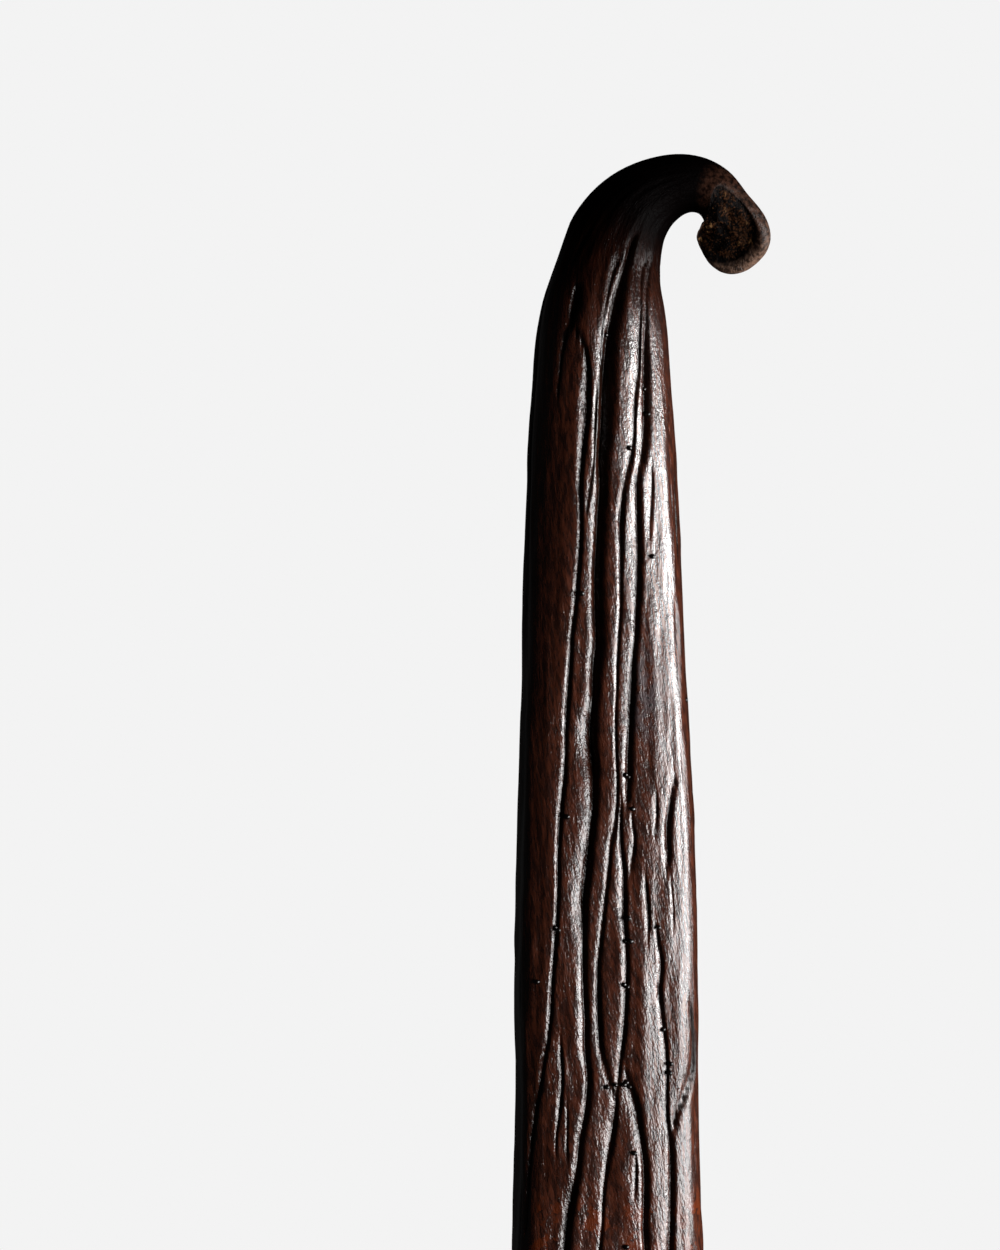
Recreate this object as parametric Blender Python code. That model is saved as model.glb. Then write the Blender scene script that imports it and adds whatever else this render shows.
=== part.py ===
"""Vanilla pod: one cured, wrinkled pod that lies on its back.

Blender 4.5, metres, +Z up. The pod runs along Y with its stem end at +Y, where it narrows and
hooks over towards +X, and ends in the rough scar where it was picked. Its face side is up.
The origin is at the middle of the pod's box, on the surface that it lies on.

Lengths below are millimetres and angles are degrees. "Along" is the distance from the neck,
where the hook begins: above zero towards the blossom tip, below zero round the hook. "Angle" is
the place round the pod: 0 on top, 90 on the side that the hook curls to, 180 underneath.
"""

import random

import bmesh
import bpy
import numpy as np

MM = 0.001
NAME = "pod"
COLLECTION = "vanilla_pod"

# Centre line
BODY_LENGTH = 152.0             # from the neck to the blossom tip
HOOK_LENGTH = 10.7              # from the neck round to the scar, seen from above
HOOK_BEND = 31.0                # degrees for each millimetre, where the hook is tightest
HOOK_BEND_FROM = 4.7            # the bend sets in just below the neck
HOOK_BEND_FULL = -11.0          # and is full at the crown of the hook
STRAIGHT_TO = 42.0              # the body is straight this far, then it bows gently
BOW_BEND = -0.19                # degrees for each millimetre
BOW_FULL = 80.0
SWAY = 0.25                     # the body steps this far aside below the neck
SWAY_FROM = 8.0
SWAY_TO = 32.0
SPINE_STEP = 0.1
HEIGHTS = ((-10.7, 4.1), (-9.5, 3.65), (-7.8, 3.25), (-5.0, 3.1), (0.0, 3.0), (20.0, 2.8),
           (75.0, 2.85), (120.0, 2.5), (140.0, 2.35), (152.0, 2.6))

# Cross-section
WIDTHS = ((-10.7, 3.5), (-9.4, 3.6), (-8.6, 3.15), (-7.8, 2.5), (-6.9, 2.45), (-5.3, 2.88),
          (-2.6, 4.0), (0.0, 5.05), (1.5, 5.8), (5.4, 6.65), (10.0, 7.2), (19.0, 7.7), (27.0, 8.2),
          (33.0, 8.4), (37.0, 8.25), (44.0, 8.7), (75.0, 9.0), (110.0, 8.3), (133.0, 6.7),
          (146.0, 4.7), (152.0, 3.4))
ASIDE = ((-10.7, 0.3), (-9.4, 0.13), (-8.6, 0.12), (-7.8, 0.1), (-6.8, -0.08), (-4.5, 0.0),
         (-3.0, 0.0), (0.0, 0.0), (152.0, 0.0))     # the stem end sits this far off the line
HOOK_FLATNESS = 1.0             # thickness over width: the stem end is round
BODY_FLATNESS = 0.69            # and the body is pressed flat by curing
FLATTENS_FROM = -5.0
FLATTENS_TO = 14.0
THREE_SIDED = 0.025             # how far the three sides of the pod show in its section
SQUARENESS = ((-5.0, 2.0), (5.0, 2.2), (12.0, 2.5), (16.0, 2.9), (20.0, 3.8), (42.0, 4.0),
              (100.0, 3.2), (152.0, 2.4))           # 2 is an ellipse, more is boxier
LOBE_HEIGHT = 0.25              # swelling on the outer side of the stem end
LOBE_AT = (-9.2, -84.0)
LOBE_SPREAD = (0.6, 30.0)

# Ends
SLANT_FROM = -4.5               # the stem end is cut at a slant that turns the scar upwards
SLANT_REACH = 1.5
SCAR_SCALE = 0.6                # the flat middle of the end face over its full radius
RIM_ROUND = 0.9
SCAR_FROM = -9.5
SCAR_FULL = -10.5
SCAR_DEPTH = 0.3                # depth of the torn bowl
TORN_AT = (0.22, 0.2)           # its middle, inwards and up, as shares of the radius
TORN_REACH = (0.72, 0.98)
TORN_EDGE = (1.1, 0.8)
GROOVE_DEPTH = 0.2              # groove round the bowl
GROOVE_WIDTH = 0.16
SWELL_HEIGHT = 0.16             # smooth swelling beside it
SWELL_AT = (-0.66, 0.0)
SWELL_SPREAD = 0.34
TIP_ROUND = 2.4

# Furrows that run down the face side: depth, width, then (along, angle) where each one passes
FACE_FURROWS = (
    # the long furrow left of the middle, and the short crease that leaves it at its top
    (0.30, 0.30, ((-1, -32), (1.8, -27), (3.6, -15), (6, -11), (13, -16), (20, -27), (27, -33),
                  (34, -41), (38, -56), (43, -62), (58, -66), (70, -60))),
    (0.20, 0.28, ((2.6, -27), (4.7, -36), (7, -37), (9.5, -29), (12, -27))),
    # the thin crease and the deep fold at the middle
    (0.20, 0.24, ((-1.6, 23), (0.5, 9), (3.8, -1), (8.9, -8), (11.8, -13))),
    (0.52, 0.44, ((-1.6, 34), (0.4, 19), (2.2, 10), (6.2, 1), (12, -3), (18, -5), (22.7, -9),
                  (29, -16), (36, -13), (40, -18), (46, -27), (56, -34), (72, -28), (88, -36))),
    # the fold right of the middle, which crosses to the left and ends in a fork
    (0.34, 0.34, ((-1, 55), (1.8, 40), (5, 38), (8, 32), (10.7, 14), (16, 10), (24, 6), (28, -2),
                  (32.5, -6), (36.6, 3))),
    (0.30, 0.32, ((23, 7), (26, 8), (30, 11), (34, 9), (38, 3), (42.7, -4), (52, -9), (66, -2),
                  (84, -9), (96, -6))),
    (0.32, 0.32, ((34.6, 8), (37, 17), (39, 21), (43, 22), (54, 18), (64, 25))),
    # the folds of the right side
    (0.30, 0.32, ((7.8, 36), (9.8, 27), (14.7, 23), (19.6, 17), (23, 15), (25.5, 16), (28, 9))),
    (0.24, 0.40, ((7.6, 36), (9.3, 40), (12.2, 35), (14, 27))),
    (0.24, 0.28, ((22, 51), (24.5, 44), (26.7, 43), (28.6, 46))),
    (0.34, 0.34, ((27, 26), (29, 32), (33, 36), (35.5, 41), (38, 42), (44, 41), (58, 46),
                  (76, 38))),
    (0.30, 0.34, ((32, 60), (34.4, 68), (36.8, 54), (38.4, 42))),
    # thin creases that come off the hook
    (0.20, 0.24, ((-0.5, 60), (2, 63), (5, 71), (9, 70))),
    (0.22, 0.24, ((-2.2, 54), (0, 47), (2, 40))),
    (0.30, 0.30, ((-4.5, 6), (-2.5, 2), (-0.5, -8), (2, -20))),
)

# Furrows of the back and of the rest of the length follow the same habit
GROWN_SEED = 11
LANES = 15
LANE_JITTER = 6.0
FACE_HALF_ANGLE = 74.0          # the face side reaches this far round from the top
FACE_ENDS = 45.0                # and this far down the pod
BACK_BEGINS = -4.0
RUN_LENGTH = (24.0, 62.0)
RUN_OVERLAP = (0.78, 1.0)
KNOT_SPACING = 6.5
WANDER = 5.0
WANDER_LIMIT = 11.0
GROWN_DEPTH = (0.24, 0.72)
GROWN_WIDTH = (0.28, 0.46)
FORK_CHANCE = 0.55
FORK_LENGTH = (9.0, 17.0)
FORK_TURN = (11.0, 17.0)
FURROW_FADE = 2.6               # a furrow rises to the surface over this length at each end
MERGE_POWER = 3.0               # where furrows meet, the deeper one wins
TIP_SMOOTH = 5.0                # the blossom tip has none
FLAT_BACK_FROM = 140.0          # towards the surface it lies on, the furrows are pressed shallow
FLAT_BACK_TO = 168.0
PRESSED_DEPTH = 0.15

# Mesh
COLUMNS = 64                    # a multiple of four, so that the columns start at the top
SCAR_RINGS = 3
RIM_RINGS = 4
TIP_RINGS = 4
BODY_RINGS = 64
HOOK_SPACING = 0.75             # wanted spacing of the rings, kept in proportion
SHOWN_SPACING = 1.5
BODY_SPACING = 4.4
SHOWN_TO = 50.0
WIDEN = 1.35                    # furrows are this much wider here, so that the columns show them

SKIN_COLOUR = (0.022, 0.0075, 0.0045)
SKIN_ROUGHNESS = 0.34


def smooth_step(start, end, value):
    """0 at start, 1 at end and smooth between them."""
    t = np.clip((value - start) / (end - start), 0.0, 1.0)
    return t * t * (3.0 - 2.0 * t)


def smooth_through(stations, along):
    """Values at the places along, on a smooth curve through the (place, value) stations."""
    places, values = np.array(stations, dtype=float).T
    slopes = np.gradient(values, places)
    right = np.clip(np.searchsorted(places, along), 1, len(places) - 1)
    left = right - 1
    span = places[right] - places[left]
    t = np.clip((along - places[left]) / span, 0.0, 1.0)
    return (values[left] * (2 * t**3 - 3 * t**2 + 1) + slopes[left] * span * (t**3 - 2 * t**2 + t)
            + values[right] * (3 * t**2 - 2 * t**3) + slopes[right] * span * (t**3 - t**2))


def spine():
    """The centre line from the scar to the blossom tip: (along, points)."""
    along = np.arange(-HOOK_LENGTH, BODY_LENGTH + SPINE_STEP, SPINE_STEP)
    hook = HOOK_BEND * smooth_step(HOOK_BEND_FROM, HOOK_BEND_FULL, along)
    bow = BOW_BEND * smooth_step(STRAIGHT_TO, BOW_FULL, along)
    turn = np.cumsum((hook + bow)[::-1])[::-1] * SPINE_STEP
    turn = np.radians(turn - np.interp(0.5 * STRAIGHT_TO, along, turn))
    steps = np.column_stack((np.sin(turn), np.cos(turn))) * SPINE_STEP
    plan = -np.cumsum(steps, axis=0)
    plan -= plan[np.searchsorted(along, 0.0)]
    plan[:, 0] += SWAY * smooth_step(SWAY_FROM, SWAY_TO, along)
    return along, np.column_stack((plan, smooth_through(HEIGHTS, along)))


def frames(table_along, table_points, along):
    """Places on the centre line with the unit vectors towards the stem, to the side and up."""
    slopes = -np.gradient(table_points, SPINE_STEP, axis=0)

    def at(columns):
        return np.column_stack([np.interp(along, table_along, column) for column in columns.T])

    stemward = at(slopes)
    stemward /= np.linalg.norm(stemward, axis=1, keepdims=True)
    side = np.column_stack((stemward[:, 1], -stemward[:, 0], np.zeros(len(along))))
    side /= np.linalg.norm(side, axis=1, keepdims=True)
    return at(table_points), stemward, side, np.cross(side, stemward)


def grown_furrows():
    """Furrows for the back and for the length past the face side, from a fixed seed."""
    draw = random.Random(GROWN_SEED)
    furrows = []
    for lane in range(LANES):
        home = (lane + 0.5) * 360.0 / LANES - 180.0 + draw.uniform(-LANE_JITTER, LANE_JITTER)
        start = FACE_ENDS if abs(home) < FACE_HALF_ANGLE else BACK_BEGINS
        start += draw.uniform(0.0, KNOT_SPACING)
        drift = 0.0
        while start < BODY_LENGTH - 2.0 * KNOT_SPACING:
            end = min(start + draw.uniform(*RUN_LENGTH), BODY_LENGTH)
            depth = draw.uniform(*GROWN_DEPTH)
            width = draw.uniform(*GROWN_WIDTH)
            knots = []
            for place in np.linspace(start, end, max(3, int((end - start) / KNOT_SPACING))):
                drift = max(-WANDER_LIMIT, min(WANDER_LIMIT, drift + draw.uniform(-WANDER, WANDER)))
                knots.append((place, home + drift))
            furrows.append((depth, width, tuple(knots)))
            if draw.random() < FORK_CHANCE:
                place, angle = knots[len(knots) // 2]
                reach = draw.uniform(*FORK_LENGTH)
                turn = draw.uniform(*FORK_TURN) * draw.choice((-1.0, 1.0))
                branch = ((place, angle), (place + 0.4 * reach, angle + 0.7 * turn),
                          (place + reach, angle + turn))
                furrows.append((0.7 * depth, 0.85 * width, branch))
            start += (end - start) * draw.uniform(*RUN_OVERLAP)
    return tuple(furrows)


def column_angles(furrows, ring_along):
    """Angle of every column at every ring: where a furrow runs, the nearest column follows it."""
    pitch = 360.0 / COLUMNS
    angles = np.tile(np.arange(COLUMNS) * pitch - 180.0, (len(ring_along), 1))
    for _, _, knots in sorted(furrows):
        line = smooth_through(knots, ring_along)
        nearest = np.rint((line + 180.0) / pitch).astype(int) % COLUMNS
        crossed = np.flatnonzero((ring_along > knots[0][0]) & (ring_along < knots[-1][0]))
        angles[crossed, nearest[crossed]] = line[crossed]
    return angles


def furrow_relief(furrows, along, angle, radius):
    """How deep the furrows cut at each place, in millimetres."""
    total = np.zeros(len(along))
    for depth, width, knots in furrows:
        line = smooth_through(knots, along)
        offset = np.abs((angle - line + 180.0) % 360.0 - 180.0)
        ends = (smooth_step(0.0, FURROW_FADE, along - knots[0][0])
                * smooth_step(0.0, FURROW_FADE, knots[-1][0] - along))
        cut = depth * ends * np.exp(-np.radians(offset) * radius / (WIDEN * width))
        total += cut ** MERGE_POWER
    pressed = 1.0 - (1.0 - PRESSED_DEPTH) * smooth_step(FLAT_BACK_FROM, FLAT_BACK_TO, np.abs(angle))
    blossom = smooth_step(BODY_LENGTH - 0.2 * TIP_SMOOTH, BODY_LENGTH - TIP_SMOOTH, along)
    return total ** (1.0 / MERGE_POWER) * pressed * blossom


def section(along):
    """Half the width and half the thickness of the section at each distance."""
    half_width = 0.5 * smooth_through(WIDTHS, along)
    flattening = smooth_step(FLATTENS_FROM, FLATTENS_TO, along)
    return half_width, half_width * (HOOK_FLATNESS + (BODY_FLATNESS - HOOK_FLATNESS) * flattening)


def wall(along, angle):
    """The section's plain wall and its outward directions, as (across, up) columns."""
    turned = np.radians(angle)
    half_width, half_height = section(along)
    power = smooth_through(SQUARENESS, along)
    sides = 1.0 + THREE_SIDED * np.cos(3.0 * turned)
    out = np.sin(turned)
    up = np.sign(np.cos(turned)) * (1.0 - np.abs(out) ** power) ** (1.0 / power)
    places = np.column_stack((half_width * out * sides, half_height * up * sides))
    facing = np.column_stack((np.sign(out) * np.abs(out) ** (power - 1.0) / half_width,
                              np.sign(up) * np.abs(up) ** (power - 1.0) / half_height))
    return places, facing / np.linalg.norm(facing, axis=1, keepdims=True)


def scar_relief(along, angle, scale):
    """How far the end face is sunk: its torn bowl, the groove round it and the swelling."""
    turned = np.radians(angle)
    inward, upward = scale * np.sin(turned), scale * np.cos(turned)
    off_middle = np.hypot((inward - TORN_AT[0]) / TORN_REACH[0],
                          (upward - TORN_AT[1]) / TORN_REACH[1])
    bowl = SCAR_DEPTH * smooth_step(*TORN_EDGE, off_middle)
    groove = GROOVE_DEPTH * np.exp(-((off_middle - 1.0) / GROOVE_WIDTH) ** 2)
    off_swell = np.hypot(inward - SWELL_AT[0], upward - SWELL_AT[1])
    swell = SWELL_HEIGHT * np.exp(-(off_swell / SWELL_SPREAD) ** 2)
    return smooth_step(SCAR_FROM, SCAR_FULL, along) * (bowl + groove - swell)


def pod_points(furrows, along, angle, scale):
    """Places on the skin, in millimetres.

    Each place is given by its distance along, its angle and its share of the full radius.
    """
    turned = np.radians(angle)
    recess = scar_relief(along, angle, scale)
    slant = smooth_step(SLANT_FROM, -HOOK_LENGTH, along)
    slanted = along + slant * SLANT_REACH * (1.0 + scale * np.cos(turned))
    half_width, half_height = section(slanted)
    places, facing = wall(slanted, angle)
    radius = np.hypot(half_width * np.cos(turned), half_height * np.sin(turned))
    lobe = LOBE_HEIGHT * np.exp(-((slanted - LOBE_AT[0]) / LOBE_SPREAD[0]) ** 2
                                - ((angle - LOBE_AT[1]) / LOBE_SPREAD[1]) ** 2)
    relief = lobe - furrow_relief(furrows, along, angle, radius)
    across, upward = ((places + relief[:, None] * facing) * scale[:, None]).T
    across = across + smooth_through(ASIDE, slanted)
    centre, stemward, side, above = frames(*spine(), slanted)
    points = (centre + side * across[:, None] + above * upward[:, None]
              - stemward * recess[:, None])
    points[:, 2] = np.maximum(points[:, 2], 0.0)
    return points


def rings():
    """Along and scale of every ring, from the middle of the scar to the blossom tip."""
    scar = SCAR_SCALE * np.linspace(0.0, 1.0, SCAR_RINGS + 1)
    rim = np.radians(np.linspace(0.0, 90.0, RIM_RINGS + 2)[1:-1])
    tip = np.radians(np.linspace(0.0, 90.0, TIP_RINGS + 2)[1:])
    first, last = RIM_ROUND - HOOK_LENGTH, BODY_LENGTH - TIP_ROUND
    places = np.linspace(first, last, 2000)
    spacing = (HOOK_SPACING + (SHOWN_SPACING - HOOK_SPACING) * smooth_step(-3.0, 3.0, places)
               + (BODY_SPACING - SHOWN_SPACING) * smooth_step(SHOWN_TO, SHOWN_TO + 15.0, places))
    count = np.cumsum(1.0 / spacing)
    count = (count - count[0]) / (count[-1] - count[0])
    body = np.interp(np.linspace(0.0, 1.0, BODY_RINGS), count, places)
    along = np.concatenate((np.full(len(scar), -HOOK_LENGTH),
                            RIM_ROUND * (1.0 - np.cos(rim)) - HOOK_LENGTH,
                            body,
                            last + TIP_ROUND * np.sin(tip)))
    scale = np.concatenate((scar, SCAR_SCALE + (1.0 - SCAR_SCALE) * np.sin(rim),
                            np.ones(len(body)), np.cos(tip)))
    return along, scale


def skin_material():
    """Cured pod skin: very dark reddish brown, oily."""
    material = bpy.data.materials.new("cured_pod_skin")
    material.use_nodes = True
    shader = material.node_tree.nodes["Principled BSDF"]
    shader.inputs["Base Color"].default_value = (*SKIN_COLOUR, 1.0)
    shader.inputs["Roughness"].default_value = SKIN_ROUGHNESS
    return material


def build_pod(collection):
    """The pod as one closed solid, shaped from a sphere whose poles are its two ends."""
    furrows = FACE_FURROWS + grown_furrows()
    ring_along, ring_scale = rings()
    angles = column_angles(furrows, ring_along)
    last_ring = len(ring_along) - 1
    body = bmesh.new()
    bmesh.ops.create_uvsphere(body, u_segments=COLUMNS, v_segments=last_ring, radius=1.0)
    sphere = np.array([vertex.co for vertex in body.verts])
    ring = np.rint(np.arccos(np.clip(sphere[:, 2], -1.0, 1.0)) / np.pi * last_ring).astype(int)
    turn = np.arctan2(sphere[:, 1], sphere[:, 0]) / (2.0 * np.pi) + 0.5
    column = np.rint(turn * COLUMNS).astype(int) % COLUMNS
    points = pod_points(furrows, ring_along[ring], angles[ring, column], ring_scale[ring])
    points[:, :2] -= 0.5 * (points[:, :2].min(axis=0) + points[:, :2].max(axis=0))
    for vertex, point in zip(body.verts, points * MM):
        vertex.co = point
    mesh = bpy.data.meshes.new(NAME)
    body.to_mesh(mesh)
    body.free()
    mesh.shade_smooth()
    mesh.materials.append(skin_material())
    pod = bpy.data.objects.new(NAME, mesh)
    collection.objects.link(pod)
    return pod


def main():
    """Clear the scene and build the pod in its own collection."""
    for old in list(bpy.data.objects):
        bpy.data.objects.remove(old)
    collection = bpy.data.collections.new(COLLECTION)
    bpy.context.scene.collection.children.link(collection)
    build_pod(collection)


main()
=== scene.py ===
"""The looks of one cured vanilla pod that lies on its back with its face side up.

The skin repeats the solid's own formula on a much finer mesh and replaces it. Lengths are
millimetres and angles are degrees, unless a name or comment says otherwise. "Along" is the
distance from the neck, where the hook begins: above zero towards the blossom tip, below zero
round the hook. "Angle" is the place round the pod: 0 on top, 90 on the side that the hook curls
to, 180 underneath.
"""

from __future__ import annotations

import logging
import math
import random
from dataclasses import dataclass, field
from enum import Enum

import bpy
import numpy as np
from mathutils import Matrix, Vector

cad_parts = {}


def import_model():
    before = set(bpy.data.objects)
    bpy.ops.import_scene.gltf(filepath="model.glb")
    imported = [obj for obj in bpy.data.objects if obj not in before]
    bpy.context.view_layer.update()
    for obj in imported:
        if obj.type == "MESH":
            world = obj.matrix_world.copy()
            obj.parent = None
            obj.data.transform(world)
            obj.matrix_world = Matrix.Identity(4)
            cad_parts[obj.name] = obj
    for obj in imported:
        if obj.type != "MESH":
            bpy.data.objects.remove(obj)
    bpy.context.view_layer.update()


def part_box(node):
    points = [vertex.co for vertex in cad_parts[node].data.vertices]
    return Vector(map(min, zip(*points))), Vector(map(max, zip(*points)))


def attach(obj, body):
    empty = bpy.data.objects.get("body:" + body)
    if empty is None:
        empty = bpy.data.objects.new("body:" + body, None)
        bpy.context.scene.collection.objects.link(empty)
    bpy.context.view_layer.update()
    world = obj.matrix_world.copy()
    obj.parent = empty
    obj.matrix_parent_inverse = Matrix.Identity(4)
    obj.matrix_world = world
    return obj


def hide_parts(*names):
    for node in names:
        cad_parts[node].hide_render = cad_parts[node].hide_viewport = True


MM = 0.001
NODE = "pod"
BODY = "root"
LATTICE_START = -50.0           # every seeded pattern begins this far along, before the scar
PROBE_STEP = 5.0                # degrees between the places that find the skin's box

log = logging.getLogger("vanilla_pod")


# --- Small helpers -----------------------------------------------------------------------------


def smooth_step(start: float, end: float, value: np.ndarray) -> np.ndarray:
    """Ramp that is 0 at start, 1 at end and smooth between them.

    Args:
        start: where the ramp leaves 0.
        end: where it reaches 1; it may be below start.
        value: places to read it at.

    Returns:
        The ramp's height at each place.
    """
    t = np.clip((value - start) / (end - start), 0.0, 1.0)
    return t * t * (3.0 - 2.0 * t)


def smooth_through(stations: tuple[tuple[float, float], ...], along: np.ndarray) -> np.ndarray:
    """Smooth curve through a few stations.

    Args:
        stations: (place, value) pairs in rising order of place.
        along: places to read it at; past the ends it keeps the end's value.

    Returns:
        The curve's value at each place.
    """
    places, values = np.array(stations, dtype=float).T
    slopes = np.gradient(values, places)
    right = np.clip(np.searchsorted(places, along), 1, len(places) - 1)
    left = right - 1
    span = places[right] - places[left]
    t = np.clip((along - places[left]) / span, 0.0, 1.0)
    return (values[left] * (2 * t**3 - 3 * t**2 + 1) + slopes[left] * span * (t**3 - 2 * t**2 + t)
            + values[right] * (3 * t**2 - 2 * t**3) + slopes[right] * span * (t**3 - t**2))


def lattice_noise(along: np.ndarray, angle: np.ndarray, length: float, cells_round: int,
                  seed: int) -> np.ndarray:
    """Smooth seeded noise on the laid-out skin, with no seam underneath.

    Args:
        along: distance along the pod.
        angle: angle round the pod.
        length: size of a bump along the pod.
        cells_round: how many bumps there are round the pod.
        seed: picks the pattern.

    Returns:
        Values from -1 to 1.
    """
    row = (along - LATTICE_START) / length
    column = (angle / 360.0 % 1.0) * cells_round
    heights = np.random.default_rng(seed).uniform(-1.0, 1.0, (int(row.max()) + 3, cells_round))
    row_low, column_low = np.floor(row).astype(int), np.floor(column).astype(int)
    row_part = smooth_step(0.0, 1.0, row - row_low)
    column_part = smooth_step(0.0, 1.0, column - column_low)
    left, right = column_low % cells_round, (column_low + 1) % cells_round
    near, far = (heights[line, left] * (1.0 - column_part) + heights[line, right] * column_part
                 for line in (row_low, row_low + 1))
    return near * (1.0 - row_part) + far * row_part


def linear(colour: str) -> tuple[float, float, float, float]:
    """Linear RGBA of an sRGB hex colour such as "#3a1c12"."""
    channels = (int(colour[i:i + 2], 16) / 255.0 for i in (1, 3, 5))
    return (*(c / 12.92 if c <= 0.04045 else ((c + 0.055) / 1.055) ** 2.4 for c in channels), 1.0)


def deselect() -> None:
    """Leaves object mode with nothing selected, so that an operator acts on its own piece."""
    if bpy.context.object is not None and bpy.context.object.mode != "OBJECT":
        bpy.ops.object.mode_set(mode="OBJECT")
    bpy.ops.object.select_all(action="DESELECT")


# --- The pod's form ----------------------------------------------------------------------------


@dataclass(frozen=True)
class Places:
    """Places on the skin, with the radius of the section there and how far its wall leans right."""

    along: np.ndarray
    angle: np.ndarray
    radius: np.ndarray
    tilt: np.ndarray

    def pick(self, chosen: np.ndarray) -> Places:
        """The places for which `chosen` is true."""
        return Places(self.along[chosen], self.angle[chosen], self.radius[chosen],
                      self.tilt[chosen])

    def right_of(self, line: np.ndarray) -> np.ndarray:
        """How far each place is to the right of a line that is given by its angles."""
        return np.radians((self.angle - line + 180.0) % 360.0 - 180.0) * self.radius


@dataclass(frozen=True)
class Fold:
    """What furrows and creases share: a line whose stations begin with (along, angle)."""

    stations: tuple[tuple[float, ...], ...]
    fade: float = 2.6                                # it rises to the surface over this length

    @property
    def first(self) -> float:
        """Where it begins along the pod."""
        return self.stations[0][0]

    @property
    def last(self) -> float:
        """Where it ends along the pod."""
        return self.stations[-1][0]

    def ends(self, along: np.ndarray) -> np.ndarray:
        """Share of the full depth that is left near its ends."""
        return (smooth_step(0.0, self.fade, along - self.first)
                * smooth_step(0.0, self.fade, self.last - along))


@dataclass(frozen=True)
class Furrow(Fold):
    """A plain furrow, sharp at its deepest line and alike on both sides."""

    depth: float = field(kw_only=True)
    width: float = field(kw_only=True)
    shaded: tuple[float, float] = (0.1, 0.35)        # painted shade fills its deepest part, rising from here to here in depth

    def offset(self, places: Places) -> np.ndarray:
        """How far each place is to the right of the furrow."""
        return places.right_of(smooth_through(self.stations, places.along))

    def cut(self, places: Places) -> np.ndarray:
        """How deep this furrow cuts.

        Args:
            places: where to read it.

        Returns:
            Depth at each place.
        """
        return (self.depth * self.ends(places.along)
                * np.exp(-np.abs(self.offset(places)) / self.width))

    def lip(self, places: Places) -> np.ndarray:
        """How much each place belongs to the furrow's left lip, from 0 to 1."""
        offset = self.offset(places)
        return np.where(offset < 0.0, np.exp(offset / self.width), 0.0)

    def painted_shade(self, places: Places) -> np.ndarray:
        """How much each place belongs to the furrow's deepest part, where shade is painted into the
        skin's colour, from 0 to 1.
        """
        return smooth_step(*self.shaded, self.cut(places))


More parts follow.
